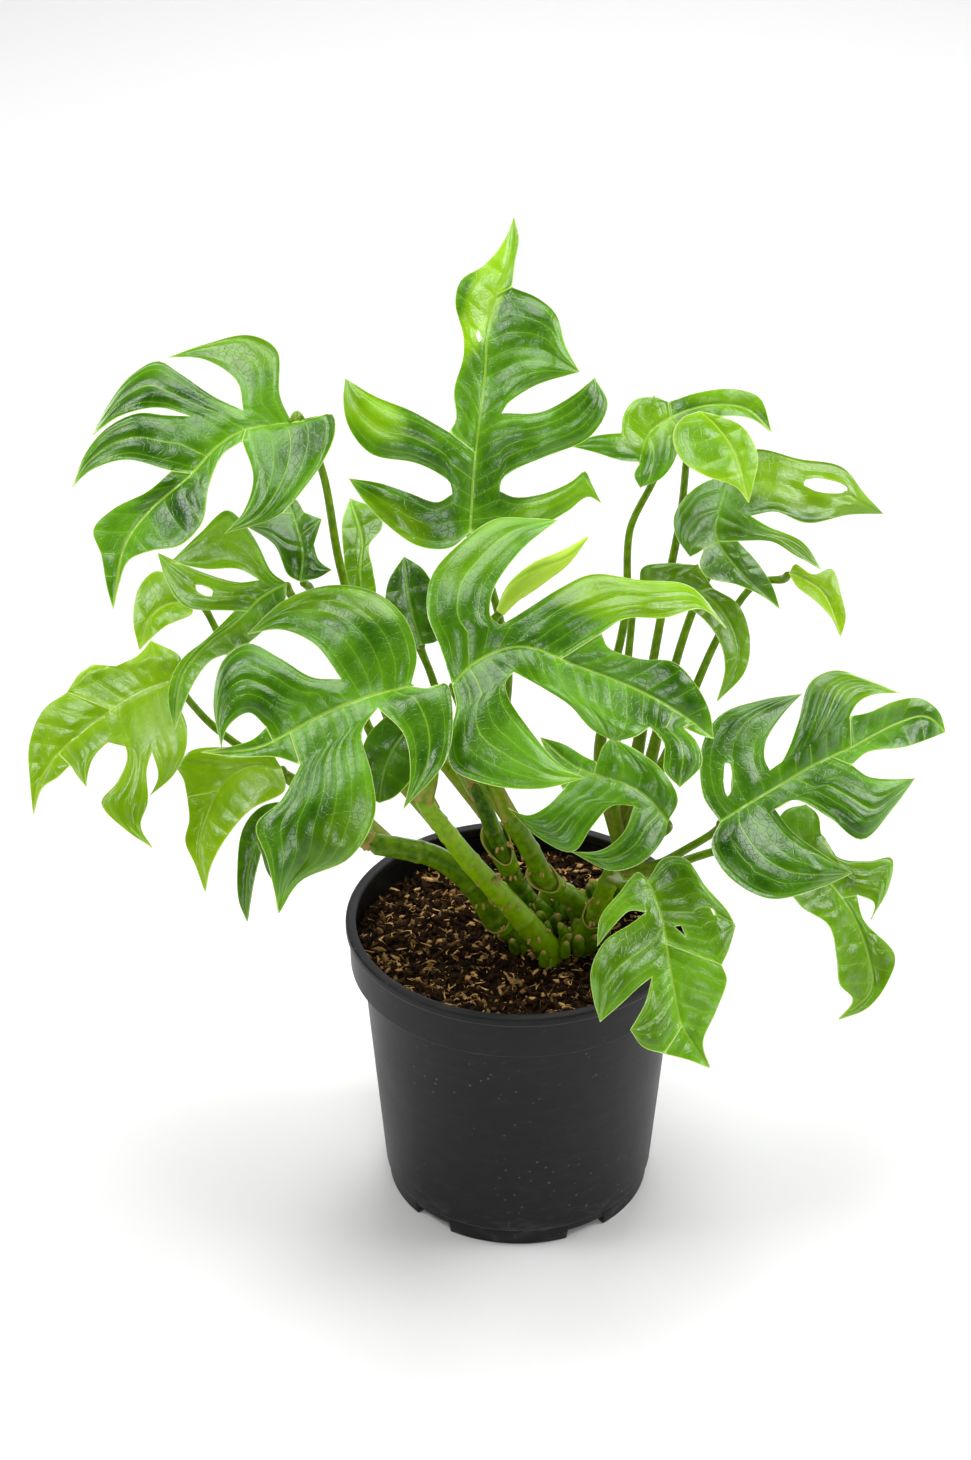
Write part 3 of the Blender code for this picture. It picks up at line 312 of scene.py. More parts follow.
scuffed = plastic.maths("MULTIPLY", plastic.ramp(scuffs, (0.50, 0), (0.74, 1)), low_dust)
wear_and_highlights = plastic.maths("MULTIPLY_ADD", scratch_lines, 0.16, scuffed, clamp=True)
wear_and_highlights = plastic.maths("MULTIPLY_ADD", dusty_specks, 0.7, wear_and_highlights, clamp=True)
# Pale bands at the edge heights: painted highlights where light catches the rims
for edge_height, highlight_share in EDGE_HIGHLIGHTS:
    on_highlit_edge = plastic.maths("COMPARE", height, edge_height, EDGE_HIGHLIGHT_HALF_WIDTH)
    wear_and_highlights = plastic.maths("MULTIPLY_ADD", on_highlit_edge, highlight_share, wear_and_highlights, clamp=True)
pot_plastic = plastic.skin(
    in_Base_Color=plastic.mixed(wear_and_highlights, POT_CHARCOAL, POT_DUST_AND_HIGHLIGHT), in_Specular_IOR_Level=0.20,
    in_Roughness=plastic.fade(cloud, 0.0, 1.0, 0.36, 0.56), in_Normal=plastic.bump(scuffs, 0.10, 0.0006))

lip_foot = POT_HEIGHT - LIP_DEPTH
band_inside = BAND_RADIUS - POT_WALL
foot_inside = FOOT_RADIUS - FOOT_WIDTH
pot_profile = rounded(np.array([
    (0.0, FLOOR_TOP), (inner_radius(FLOOR_TOP), FLOOR_TOP), (inner_radius(BAND_FOOT), BAND_FOOT + POT_WALL),
    (band_inside, BAND_FOOT + 2 * POT_WALL), (band_inside, lip_foot - POT_WALL),
    (LIP_RADIUS - LIP_WIDTH, lip_foot), (LIP_RADIUS - LIP_WIDTH, POT_HEIGHT), (LIP_RADIUS, POT_HEIGHT),
    (LIP_RADIUS, lip_foot), (BAND_RADIUS, lip_foot - SMALL_STEP), (BAND_RADIUS - SMALL_STEP / 2, BAND_FOOT),
    (WALL_TOP_RADIUS, BAND_FOOT - SMALL_STEP / 4), (WALL_FOOT_RADIUS, FOOT_HEIGHT),
    (FOOT_RADIUS, FOOT_HEIGHT - SMALL_STEP), (FOOT_RADIUS - SMALL_STEP / 2, 0.0), (foot_inside, 0.0),
    (foot_inside, FLOOR_TOP - POT_WALL), (0.0, FLOOR_TOP - POT_WALL)]), POT_ROUNDING)
notch_middles = FIRST_NOTCH + 2 * np.pi * np.arange(FOOT_NOTCHES) / FOOT_NOTCHES
notch_half = NOTCH_WIDTH / 2 / FOOT_RADIUS
notch_corners = np.array((-NOTCH_FOOT_SHARE, -NOTCH_TOP_SHARE, NOTCH_TOP_SHARE, NOTCH_FOOT_SHARE))
notch_sides = (notch_middles[:, None] + notch_half * notch_corners).ravel()
pot_angles = np.linspace(0, 2 * np.pi, POT_SIDES + 1)[:-1]
pot_angles = np.sort(np.r_[pot_angles, notch_sides % (2 * np.pi), 2 * np.pi])
pot_grid = turned(pot_profile, pot_angles)
off_notch = np.abs((pot_angles[:, None] - notch_middles + np.pi) % (2 * np.pi) - np.pi).min(axis=1)
off_notch /= notch_half
lifted = NOTCH_HEIGHT * np.clip((NOTCH_FOOT_SHARE - off_notch) / (NOTCH_FOOT_SHARE - NOTCH_TOP_SHARE), 0, 1)
low = (pot_profile[:, 1] < FOOT_HEIGHT) & (pot_profile[:, 0] > foot_inside - 0.0001)
pot_grid[low, :, 2] += lifted * (1 - pot_grid[low, :, 2] / FOOT_HEIGHT)
pot_points, pot_corners, _ = welded(pot_grid.reshape(-1, 3), grid_quads(*pot_grid.shape[:2]))
pot_shell = plant_piece("pot_shell", pot_points, pot_corners, pot_plastic, "pot", "pot_plastic")
pot_shell.data.set_sharp_from_angle(angle=math.radians(50))
for number in range(DRAIN_HOLES):
    turn = 2 * math.pi * number / DRAIN_HOLES
    bpy.ops.mesh.primitive_cylinder_add(vertices=32, radius=DRAIN_RADIUS, depth=4 * POT_WALL)
    drill = bpy.context.object
    drill.location = POT_AXIS + (
        DRAIN_CIRCLE * math.cos(turn), DRAIN_CIRCLE * math.sin(turn), FLOOR_TOP - POT_WALL)
    bore = pot_shell.modifiers.new("drain_hole", "BOOLEAN")
    bore.operation = "DIFFERENCE"
    bore.solver = "EXACT"
    bore.object = drill
    bpy.context.view_layer.objects.active = pot_shell
    bpy.ops.object.modifier_apply(modifier=bore.name)
    bpy.data.objects.remove(drill, do_unlink=True)


# Potting mix. Damp shredded bark and coir, nearly black, filled to a finger below the lip and left crumbly.
# Loose chips and curled tan fibres of bark lie all over it.
SOIL_LEVEL = 0.120
SOIL_GAP = 0.0003
SOIL_RINGS, SOIL_SIDES = 110, 220
SOIL_BLACK = (0.0030, 0.0018, 0.0011, 1.0)
SOIL_BROWN = (0.046, 0.0200, 0.0070, 1.0)
BARK_TAN = (0.92, 0.53, 0.19, 1.0)
# Humps of the ground: their height, their size and their seed
GROUND_WAVES = ((0.0013, 0.016, 1), (0.0007, 0.005, 2), (0.0004, 0.0022, 3))
# Loose bark: how much there is, how far out it lies, its length, width and thickness, how far it curls, and
# how its shades are spread from dark to tan
BARK = (dict(count=3200, ring=0.0700, seed=11, size=(0.0050, 0.0011, 0.0009), curl=0.15, sides=4,
             shades=(1.0, 3.6)),
        dict(count=1300, ring=0.0690, seed=13, size=(0.0052, 0.00036, 0.00030), curl=0.60, sides=3,
             shades=(1.3, 0.8)))
BARK_STATIONS = 5
chance = np.random.default_rng(7)


def crumbs(x, y, size, seed, waves=28):
    """Uneven ground between -1 and 1: the mean of many sine waves of about the given size, each in its own
    direction and with its own start."""
    own = np.random.default_rng(seed)
    heading = own.uniform(0, 2 * np.pi, waves)
    count = 2 * np.pi / (size * own.uniform(0.6, 1.7, waves))
    start = own.uniform(0, 2 * np.pi, waves)
    phase = count * (x[..., None] * np.cos(heading) + y[..., None] * np.sin(heading)) + start
    return np.sin(phase).sum(axis=-1) / math.sqrt(waves)


def scattered(count, ring, seed):
    """Places on the soil, even over its area: the radius goes with the square root of a chance number. They
    lie on the two larger kinds of hump."""
    own = np.random.default_rng(seed)
    radius, angle = ring * np.sqrt(own.uniform(0, 1, count)), own.uniform(0, 2 * np.pi, count)
    x, y = POT_AXIS[0] + radius * np.cos(angle), POT_AXIS[1] + radius * np.sin(angle)
    height = sum((tall * crumbs(x, y, size, wave) for tall, size, wave in GROUND_WAVES[:2]), SOIL_LEVEL)
    return np.column_stack([x, y, height])


def bark_pieces(places, size, curl, sides, seed):
    """Bark as short spindles: along a centre line that curls like a piece of circle, a flat oval section
    swells from a narrow end to the middle and back. Each piece is turned by chance angles and set at its
    place."""
    own = np.random.default_rng(seed)
    length, width, thick = size
    count = len(places)
    share = np.linspace(-1, 1, BARK_STATIONS)
    swell = (1 - 0.75 * share**2)[None, :, None]
    around = 2 * np.pi * np.arange(sides) / sides
    long = length * own.uniform(0.5, 1.5, count)[:, None, None]
    rough = own.uniform(0.7, 1.3, (count, BARK_STATIONS, sides))
    across = width * own.uniform(0.6, 1.5, count)[:, None, None] * swell * np.cos(around) * rough
    up = thick * own.uniform(0.6, 1.5, count)[:, None, None] * swell * np.sin(around) * rough
    bow = curl * own.uniform(-1, 1, count)[:, None, None] * long * (1 - share**2)[None, :, None]
    ahead = np.broadcast_to(0.5 * long * share[None, :, None], across.shape)
    local = np.stack([ahead, across + bow, up + 0.4 * abs(bow)], 3)
    spin, pitch = own.uniform(0, 2 * np.pi, count), own.normal(0, 0.35, count)
    lie = np.zeros((count, 3, 3))
    east, north, level, steep = np.cos(spin), np.sin(spin), np.cos(pitch), np.sin(pitch)
    lie[:, 0] = np.column_stack([east * level, -north, -east * steep])
    lie[:, 1] = np.column_stack([north * level, east, -north * steep])
    lie[:, 2] = np.column_stack([steep, np.zeros(count), level])
    points = np.einsum("nij,nskj->nski", lie, local) + places[:, None, None] + (0, 0, thick)
    number = np.arange(BARK_STATIONS * sides).reshape(BARK_STATIONS, sides)
    beside = np.roll(number, -1, axis=1)
    wall = np.stack([number[:-1], beside[:-1], beside[1:], number[1:]], 2).reshape(-1, 4)
    loop = np.arange(4) % sides
    ends = np.array([number[0, -loop % sides], number[-1, loop]])
    quads = np.vstack([wall, ends])[None] + (np.arange(count) * BARK_STATIONS * sides)[:, None, None]
    corners = halved(quads.reshape(-1, 4))
    return points.reshape(-1, 3), corners[corners[:, 0] != corners[:, 2]]


bark = Finish(bpy.data.materials.new("potting_mix"))
grain = bark.noise(bark.place(), 480.0, 5.0, 0.7)
shade = bark.maths("MULTIPLY_ADD", grain, 0.42, bark.mark("tone"), clamp=True)
potting_mix = bark.skin(
    in_Base_Color=bark.ramp(shade, (0.18, SOIL_BLACK), (0.55, SOIL_BROWN), (1.0, BARK_TAN)),
    in_Roughness=0.80, in_Specular_IOR_Level=0.08, in_Normal=bark.bump(grain, 0.6, 0.0008))

soil_edge = band_inside - SOIL_GAP
soil_floor = FLOOR_TOP + SOIL_GAP
soil_profile = np.vstack([
    np.column_stack([np.linspace(0, soil_edge, SOIL_RINGS), np.full(SOIL_RINGS, SOIL_LEVEL)]),
    [(soil_edge, BAND_FOOT + 2 * POT_WALL + SOIL_GAP),
     (inner_radius(BAND_FOOT) - SOIL_GAP, BAND_FOOT + POT_WALL + SOIL_GAP),
     (inner_radius(soil_floor) - SOIL_GAP, soil_floor), (0.0, soil_floor)]])
soil_grid = turned(soil_profile, np.linspace(0, 2 * np.pi, SOIL_SIDES + 1))
soil_top = soil_grid[:SOIL_RINGS]
soil_top[..., 2] += sum(
    tall * crumbs(soil_top[..., 0], soil_top[..., 1], size, wave) for tall, size, wave in GROUND_WAVES)
soil_points, soil_corners, _ = welded(soil_grid.reshape(-1, 3), grid_quads(*soil_grid.shape[:2]))
mix_points, mix_corners = [soil_points], [soil_corners]
mix_tones = [0.10 + 0.12 * crumbs(soil_points[:, 0], soil_points[:, 1], 0.006, 4)]
for kind in BARK:
    places = scattered(kind["count"], kind["ring"], kind["seed"])
    bark_points, bark_corners = bark_pieces(
        places, kind["size"], kind["curl"], kind["sides"], kind["seed"] + 1)
    mix_corners.append(bark_corners + sum(map(len, mix_points)))
    mix_points.append(bark_points)
    mix_tones.append(np.repeat(chance.beta(*kind["shades"], kind["count"]), BARK_STATIONS * kind["sides"]))
plant_piece("potting_mix_top", np.vstack(mix_points), np.vstack(mix_corners), potting_mix, "soil",
            "potting_mix", marks={"tone": np.concatenate(mix_tones)})


# Leaf blades. Each leaf is one thin glossy blade, cut deep into lobes between its side veins. The veins lie
# sunk in pale lines, the blade puckers up between them, and its edge is a thin yellow-green rim.
# Outlines in pixels of the photograph. Left and right are as seen from a leaf's base towards its tip. A
# side is a list of lobes from the base on. A lobe has the points out to its tip, the tip, the points back,
# and the sinus after it. Then come the points of the last stretch of edge, up to the blade's tip.
LEAVES = {
    "leaf_upper_left": dict(
        midrib=[(292, 423), (250, 428), (220, 444), (190, 475), (150, 510), (125, 545), (113, 610)],
        left=[([(305, 421), (332, 414), (335, 432), (324, 460), (306, 486), (278, 516)], (224, 534),
               [(243, 512), (253, 478)], (242, 441))],
        left_end=[(222, 455), (209, 485), (202, 522), (180, 545), (150, 551), (128, 561), (119, 584)],
        right=[([(280, 395), (277, 350), (250, 335), (205, 344)], (168, 357), [(205, 360), (237, 382)],
                (243, 410)),
               ([(215, 397), (178, 372), (158, 361), (130, 376), (107, 406)], (92, 435),
                [(120, 416), (158, 408)], (190, 416)),
               ([(165, 415), (138, 413), (108, 427), (86, 452)], (72, 487), [(92, 470), (125, 460)],
                (171, 471))],
        right_end=[(148, 491), (113, 509), (93, 530), (101, 555), (106, 584)]),
    "leaf_top_centre": dict(
        midrib=[(470, 533), (472, 500), (475, 460), (480, 415), (485, 375), (487, 340), (495, 300),
                (508, 262), (514, 217)],
        left=[([(450, 548), (418, 546), (388, 526), (362, 499)], (348, 478),
               [(380, 483), (410, 493), (437, 502)], (452, 494)),
              ([(450, 483), (437, 473), (415, 463), (371, 454), (349, 428), (343, 400)], (345, 378),
               [(375, 396), (412, 411)], (449, 432))],
        left_end=[(456, 420), (454, 390), (463, 357), (463, 335), (455, 303), (461, 280), (484, 265),
                  (503, 242)],
        right=[([(492, 541), (532, 530), (567, 512), (588, 497)], (602, 504),
                [(592, 484), (585, 471), (572, 481), (545, 493), (515, 497)], (500, 491)),
               ([(502, 480), (515, 470), (545, 457), (590, 437), (608, 404)], (595, 377),
                [(573, 395), (540, 412)], (502, 413)),
               ([(508, 404), (535, 386)], (580, 372), [(566, 346), (556, 314), (538, 298)], (512, 287))],
        right_end=[(515, 262), (519, 238)]),
    "leaf_back_right": dict(
        midrib=[(640, 462), (650, 432), (676, 415), (710, 405), (745, 408), (772, 432)],
        left=[([(622, 461), (596, 453)], (572, 447), [(590, 437), (606, 434)], (621, 433)),
              ([(624, 413), (636, 399)], (655, 396), [], (668, 402))],
        left_end=[(700, 392), (735, 389), (760, 398)],
        right=[([(634, 475)], (640, 488), [(662, 478), (676, 458)], (680, 432))],
        right_end=[(710, 418), (750, 418)]),
    "leaf_top_right": dict(
        midrib=[(700, 411), (720, 430), (736, 456), (749, 503)],
        left=[], left_end=[(720, 416), (743, 427), (758, 455), (754, 482)],
        right=[], right_end=[(682, 418), (673, 435), (681, 459), (704, 475), (736, 487)]),
    "leaf_right_upper": dict(
        midrib=[(728, 478), (720, 508), (716, 535), (737, 568), (780, 609)],
        left=[([(752, 450), (800, 459), (842, 467), (866, 495)], (884, 514),
               [(850, 515), (808, 523), (775, 512)], (751, 516)),
              ([(768, 526), (803, 542)], (822, 569), [(796, 556), (772, 542)], (738, 541))],
        left_end=[(758, 563), (773, 587)],
        right=[([(709, 480), (688, 494), (674, 516), (676, 536)], (690, 557), [(698, 553)], (704, 549))],
        right_end=[(700, 563), (706, 576), (738, 585), (764, 597)]),
    "leaf_right_small": dict(
        midrib=[(789, 573), (806, 580), (824, 594), (841, 637)],
        left=[], left_end=[(795, 564), (813, 574), (832, 569), (842, 597), (846, 618)],
        right=[], right_end=[(797, 586), (815, 600), (832, 618)]),
    "leaf_back_arching": dict(
        midrib=[(640, 588), (690, 586), (725, 615), (738, 655), (717, 702)],
        left=[([(642, 568), (668, 563)], (698, 565), [], (713, 588))],
        left_end=[(738, 604), (750, 637), (745, 672)],
        right=[], right_end=[(650, 606), (690, 609), (718, 638), (725, 668)]),
    "leaf_mid_left": dict(
        midrib=[(287, 583), (262, 597), (236, 622), (208, 643), (183, 675), (174, 732)],
        left=[], left_end=[(283, 606), (243, 647), (210, 661), (190, 690)],
        right=[([(272, 572), (260, 548), (247, 527), (227, 510), (200, 533)], (170, 562),
                [(205, 569), (238, 569)], (259, 580)),
               ([(238, 582), (200, 571)], (157, 552), [(166, 580), (184, 606)], (234, 611))],
        right_end=[(206, 639), (181, 660), (168, 692)]),
    "leaf_left_behind": dict(
        midrib=[(300, 582), (303, 556), (298, 530), (285, 492)],
        left=[([(288, 575), (274, 545)], (247, 527), [(262, 520)], (280, 513))],
        left_end=[(278, 502)],
        right=[([(318, 578)], (332, 570), [(319, 560)], (314, 545)),
               ([], (322, 519), [], (304, 512))],
        right_end=[(297, 500)]),
    "leaf_left_low_behind": dict(
        midrib=[(192, 602), (168, 604), (150, 618), (139, 650)],
        left=[], left_end=[(192, 613), (166, 626), (148, 641)],
        right=[], right_end=[(180, 582), (156, 571), (139, 587), (133, 620)]),
    "leaf_far_left": dict(
        midrib=[(172, 680), (140, 692), (100, 718), (58, 754), (38, 785), (33, 815)],
        left=[([(178, 702), (187, 726), (186, 750), (173, 776)], (150, 796), [(158, 776)], (152, 752)),
              ([(147, 770), (148, 802), (141, 826)], (153, 848),
               [(128, 832), (101, 803), (117, 782), (127, 757), (122, 742)], (108, 742)),
              ([(94, 757), (89, 770)], (86, 787), [(77, 776)], (70, 765))],
        left_end=[(58, 777), (42, 788)],
        right=[([(181, 658)], (151, 640), [(138, 655)], (116, 666)),
               ([], (92, 664), [(78, 675)], (67, 692))],
        right_end=[(43, 710), (29, 745), (30, 785)]),
    "leaf_low_left": dict(
        midrib=[(282, 768), (250, 766), (224, 782), (207, 815), (199, 850), (205, 892)],
        left=[], left_end=[(285, 790), (250, 810), (226, 838), (211, 866)],
        right=[([(268, 750), (225, 747), (190, 751)], (176, 768), [(183, 779)], (187, 797))],
        right_end=[(189, 820), (185, 841), (195, 865)]),
    "leaf_low_left_behind": dict(
        midrib=[(295, 800), (266, 826), (249, 868), (247, 922)],
        left=[([(302, 830), (296, 862)], (277, 886), [(267, 872)], (261, 852))],
        left_end=[(254, 880)],
        right=[], right_end=[(262, 806), (243, 828), (237, 875), (239, 902)]),
    "leaf_front_left": dict(
        midrib=[(411, 686), (370, 696), (325, 713), (290, 732), (255, 748), (200, 752)],
        left=[([(430, 688), (446, 683), (453, 715), (446, 760)], (403, 810), [(410, 775), (404, 735)],
               (378, 708)),
              ([(362, 732), (372, 775), (375, 815), (350, 858), (300, 882)], (279, 914),
               [(267, 860), (256, 825), (281, 800)], (300, 765))],
        left_end=[(275, 757), (238, 757)],
        right=[([(417, 655), (405, 618), (375, 592), (330, 585), (283, 601)], (247, 634),
                [(282, 630), (315, 645)], (341, 679)),
               ([(312, 677), (280, 658), (247, 643), (223, 660), (213, 702)], (221, 748),
                [(228, 727), (249, 713)], (266, 727))],
        right_end=[(253, 739), (228, 747)]),
    "leaf_low_inner_left": dict(
        midrib=[(432, 708), (405, 732), (386, 765), (379, 803)],
        left=[], left_end=[(432, 740), (412, 778), (394, 797)],
        right=[], right_end=[(405, 706), (368, 735), (360, 772), (370, 797)]),
    "leaf_centre": dict(
        midrib=[(452, 685), (475, 662), (520, 646), (575, 665), (625, 684), (675, 710), (714, 739)],
        left=[([(440, 647), (427, 612), (432, 575), (460, 543), (495, 519), (530, 518)], (558, 520),
               [(525, 547), (502, 575), (492, 595), (491, 617)], (500, 625)),
              ([(511, 619), (530, 607), (560, 588), (592, 574), (640, 580), (690, 586)], (727, 628),
               [(702, 609), (665, 618), (625, 619)], (602, 633))],
        left_end=[(607, 646), (617, 652), (642, 659), (674, 662), (697, 686), (710, 712)],
        right=[([(456, 705), (449, 740), (452, 768), (490, 785), (540, 789)], (586, 778),
                [(560, 764), (528, 727), (507, 694), (506, 681)], (514, 672)),
               ([(546, 690), (570, 706), (591, 729)], (615, 742), [(637, 736)], (650, 727)),
               ([(664, 745), (664, 770)], (680, 788), [(702, 764), (697, 742)], (683, 727))],
        right_end=[(700, 735)]),
    "leaf_centre_right_low": dict(
        midrib=[(668, 822), (650, 800), (628, 785), (600, 776), (573, 765), (540, 737)],
        left=[([(664, 838), (643, 862), (612, 871)], (571, 852), [(601, 850), (623, 833)], (634, 806)),
              ([(612, 806), (592, 827), (573, 852), (542, 840)], (507, 808), [(528, 815), (547, 806)],
               (563, 790))],
        left_end=[(552, 768)],
        right=[([(678, 800), (664, 772), (640, 752)], (612, 737), [(603, 746)], (597, 762))],
        right_end=[(584, 756), (564, 744)]),
    "leaf_right": dict(
        midrib=[(720, 822), (750, 803), (780, 785), (810, 767), (850, 748), (895, 724), (925, 716),
                (946, 732)],
        left=[([(703, 795), (702, 745), (720, 715), (760, 700)], (803, 693),
               [(782, 716), (766, 742), (765, 760)], (770, 770)),
              ([(779, 765), (787, 752), (798, 722), (810, 682), (835, 670), (870, 680)], (901, 693),
               [(873, 695), (858, 703)], (850, 716))],
        left_end=[(870, 712), (895, 701), (920, 698), (939, 711)],
        right=[([(711, 845), (728, 876), (770, 899), (820, 888)], (853, 873), [(820, 852), (792, 831)],
                (775, 809)),
               ([(795, 800), (828, 817), (862, 840), (893, 809)], (916, 778), [(888, 779), (868, 776)],
                (852, 765))],
        right_end=[(868, 752), (905, 747), (932, 738)]),
    "leaf_right_hanging": dict(
        midrib=[(790, 850), (828, 880), (853, 915), (868, 955), (871, 990), (838, 1020)],
        left=[([(776, 832), (784, 811)], (806, 804), [(818, 815)], (821, 833)),
              ([(838, 857), (868, 861), (892, 858), (889, 888)], (871, 920), [(874, 903)], (857, 895))],
        left_end=[(864, 920), (895, 955), (888, 982), (868, 1008)],
        right=[], right_end=[(780, 868), (800, 905), (829, 926), (837, 960), (840, 985), (853, 1000)]),
    "leaf_front_low": dict(
        midrib=[(648, 880), (661, 915), (668, 955), (674, 990), (682, 1025), (710, 1068)],
        left=[([(664, 858), (686, 859), (706, 886), (728, 911)], (736, 926), [(729, 950)], (722, 965))],
        left_end=[(727, 980), (716, 1012), (703, 1043)],
        right=[([(638, 872), (620, 892), (600, 918)], (597, 947), [(612, 928), (630, 911)], (646, 912)),
               ([(632, 923), (605, 941), (591, 970), (593, 998)], (600, 1022), [(620, 1005), (638, 988)],
                (652, 977)),
               ([(645, 1003)], (630, 1030), [(643, 1047)], (664, 1054))],
        right_end=[(688, 1060)]),
    "leaf_inner_left": dict(
        midrib=[(363, 603), (360, 570), (362, 540), (350, 498)],
        left=[], left_end=[(348, 598), (344, 560), (342, 522)],
        right=[], right_end=[(375, 598), (373, 570), (369, 545), (382, 527), (379, 511)]),
    "leaf_inner_dark": dict(
        midrib=[(422, 645), (412, 612), (407, 585), (404, 556)],
        left=[], left_end=[(400, 648), (386, 615), (388, 582)],
        right=[], right_end=[(438, 640), (438, 600), (424, 570)]),
}
# Where each blade's base is, in metres behind the pot's axis, how far its plane is turned to the right, and
# how far it looks up, in degrees
BLADE_PLANES = {
    "leaf_upper_left": (0.000, -25, 48),
    "leaf_top_centre": (0.015, 0, 38),
    "leaf_back_right": (0.075, 15, 50),
    "leaf_top_right": (0.045, 20, 50),
    "leaf_right_upper": (0.050, 25, 50),
    "leaf_right_small": (0.048, 30, 50),
    "leaf_back_arching": (0.035, 20, 50),
    "leaf_mid_left": (-0.005, -25, 50),
    "leaf_left_behind": (0.040, -15, 50),
    "leaf_left_low_behind": (0.045, -30, 50),
    "leaf_far_left": (0.008, -35, 50),
    "leaf_low_left": (-0.020, -30, 45),
    "leaf_low_left_behind": (0.010, -25, 40),
    "leaf_front_left": (-0.060, -15, 48),
    "leaf_low_inner_left": (-0.028, -10, 45),
    "leaf_centre": (-0.050, 10, 50),
    "leaf_centre_right_low": (-0.020, 10, 48),
    "leaf_right": (-0.025, 25, 48),
    "leaf_right_hanging": (0.015, 30, 42),
    "leaf_front_low": (-0.062, 10, 45),
    "leaf_inner_left": (0.040, -10, 45),
    "leaf_inner_dark": (0.025, 0, 45),
}
# Holes in the blades, each an ellipse in pixels: its middle, its half length and half width, and its lean
# in degrees
LEAF_HOLES = {
    "leaf_top_centre": [(479, 336, 6, 2.6, 80)],
    "leaf_right_upper": [(826, 486, 23, 7, 8)],
    "leaf_mid_left": [(204, 590, 11, 4.5, 28)],
    "leaf_centre": [(654, 752, 23, 9, 80)],
    "leaf_right": [(728, 779, 18, 4.5, 88), (741, 846, 10, 4.5, 60), (758, 871, 10, 4, 62)],
    "leaf_front_low": [(681, 930, 9, 3.6, 45), (685, 900, 5, 2, 5), (711, 911, 7, 2.2, 30)],
}
LEAF_THICKNESS = 0.0008
EDGE_THINNER = 0.55
MIDRIB_STEPS = 12
FINER = 5
FINER_FOR_HOLE = {"leaf_right_upper": 15}
WEB_ROWS, LOBE_ROWS = 7, 35
END_COLUMNS = 26
WEB_SLANT = 0.45
SEARCH_STEPS = 240
ARCH, FOLD, LOBE_DROP, LOBE_TWIST, LOBE_CUP = 0.05, 0.22, 0.035, 0.10, 0.0012
LOBE_FOLD = 0.24
VEIN_SPACING = 0.0075
END_VEIN_SHARE, END_VEIN_SLANT = 0.8, 0.10
NO_LOBE_VEIN = 40.0
PUCKER, PUCKER_CHANGE, WIDEST_PUCKER = 0.048, 0.8, 0.012
RIB_SINK, RIB_WIDTH = 0.0006, 0.0012
LOBE_VEIN_SINK, LOBE_VEIN_WIDTH = 0.0004, 0.0011
EDGE_WAVE = 0.0007
# Waves all over a blade: their height, their size, their seed and how far from the edge they are full
BLADE_WAVES = ((0.0012, 0.030, 6, 0.006), (0.00012, 0.008, 8, 0.004))
# What the grid of a blade tells of each of its points, in pixels or as a share
BLADE_FACTS = ("rib", "station", "lean", "cup", "beyond", "vein", "gap", "lobe_vein", "lobe_fold")
# These places are partly young growth and partly painted light, where lobes lie lit or glossy
# Young and lit yellow-green places: ellipses in pixels, as the holes are, and how far each has their colour
YOUNG_AND_LIT_PLACES = {
    "leaf_top_centre": [(487, 290, 84, 20, -70, 1.0), (368, 408, 52, 28, 40, 0.7),
                        (385, 522, 56, 26, 25, 0.6), (560, 500, 60, 16, -20, 0.4)],
    "leaf_back_right": [(642, 425, 40, 32, 0, 0.6), (735, 400, 60, 16, 5, 0.4)],
    "leaf_right_upper": [(812, 484, 84, 36, 12, 0.75), (800, 548, 50, 24, 40, 0.3)],
    "leaf_right_small": [(820, 600, 60, 60, 0, 0.5)],
    "leaf_back_arching": [(700, 630, 110, 90, 0, 0.35)],
    "leaf_mid_left": [(205, 560, 84, 60, 0, 0.5), (220, 650, 90, 60, 0, 0.25)],
    "leaf_left_low_behind": [(160, 610, 80, 80, 0, 0.3)],
    "leaf_far_left": [(100, 740, 160, 130, 0, 0.35), (60, 770, 60, 60, 0, 0.4)],
    "leaf_low_left": [(215, 800, 100, 100, 0, 0.55)],
    "leaf_centre": [(655, 598, 120, 36, 6, 0.7), (600, 770, 60, 24, -20, 0.3),
                    (470, 545, 60, 40, -40, 0.25)],
    "leaf_right": [(870, 690, 70, 22, 10, 0.35)],
    "leaf_right_hanging": [(850, 920, 140, 140, 0, 0.35)],
    "leaf_front_low": [(665, 960, 120, 120, 0, 0.2)],
    "leaf_inner_left": [(360, 550, 80, 80, 0, 0.4)],
    "leaf_front_left": [(330, 600, 110, 22, 5, 0.3), (340, 850, 80, 40, -60, 0.2)],
    "leaf_upper_left": [(240, 350, 50, 24, 10, 0.35)],
}


def line_of_sight(pixels):
    """Directions from the camera through pixels of the photograph: right and down across the picture by the
    pixel's offset over the focal length, and one ahead."""
    offsets = (np.atleast_2d(np.asarray(pixels, float)) - (PHOTO_WIDE / 2, PHOTO_TALL / 2)) / VIEW_FOCAL
    up = np.array((0.0, math.sin(VIEW_TILT), math.cos(VIEW_TILT)))
    ahead = np.array((0.0, math.cos(VIEW_TILT), -math.sin(VIEW_TILT)))
    return offsets[:, :1] * np.array((1.0, 0.0, 0.0)) - offsets[:, 1:] * up + ahead


def seen_at(x, y, behind):
    """The point seen at a pixel that lies this far behind the pot's axis: the line of sight cut by an
    upright plane."""
    direction = line_of_sight((x, y))[0]
    return VIEW_PLACE + (POT_AXIS[1] + behind - VIEW_PLACE[1]) / direction[1] * direction


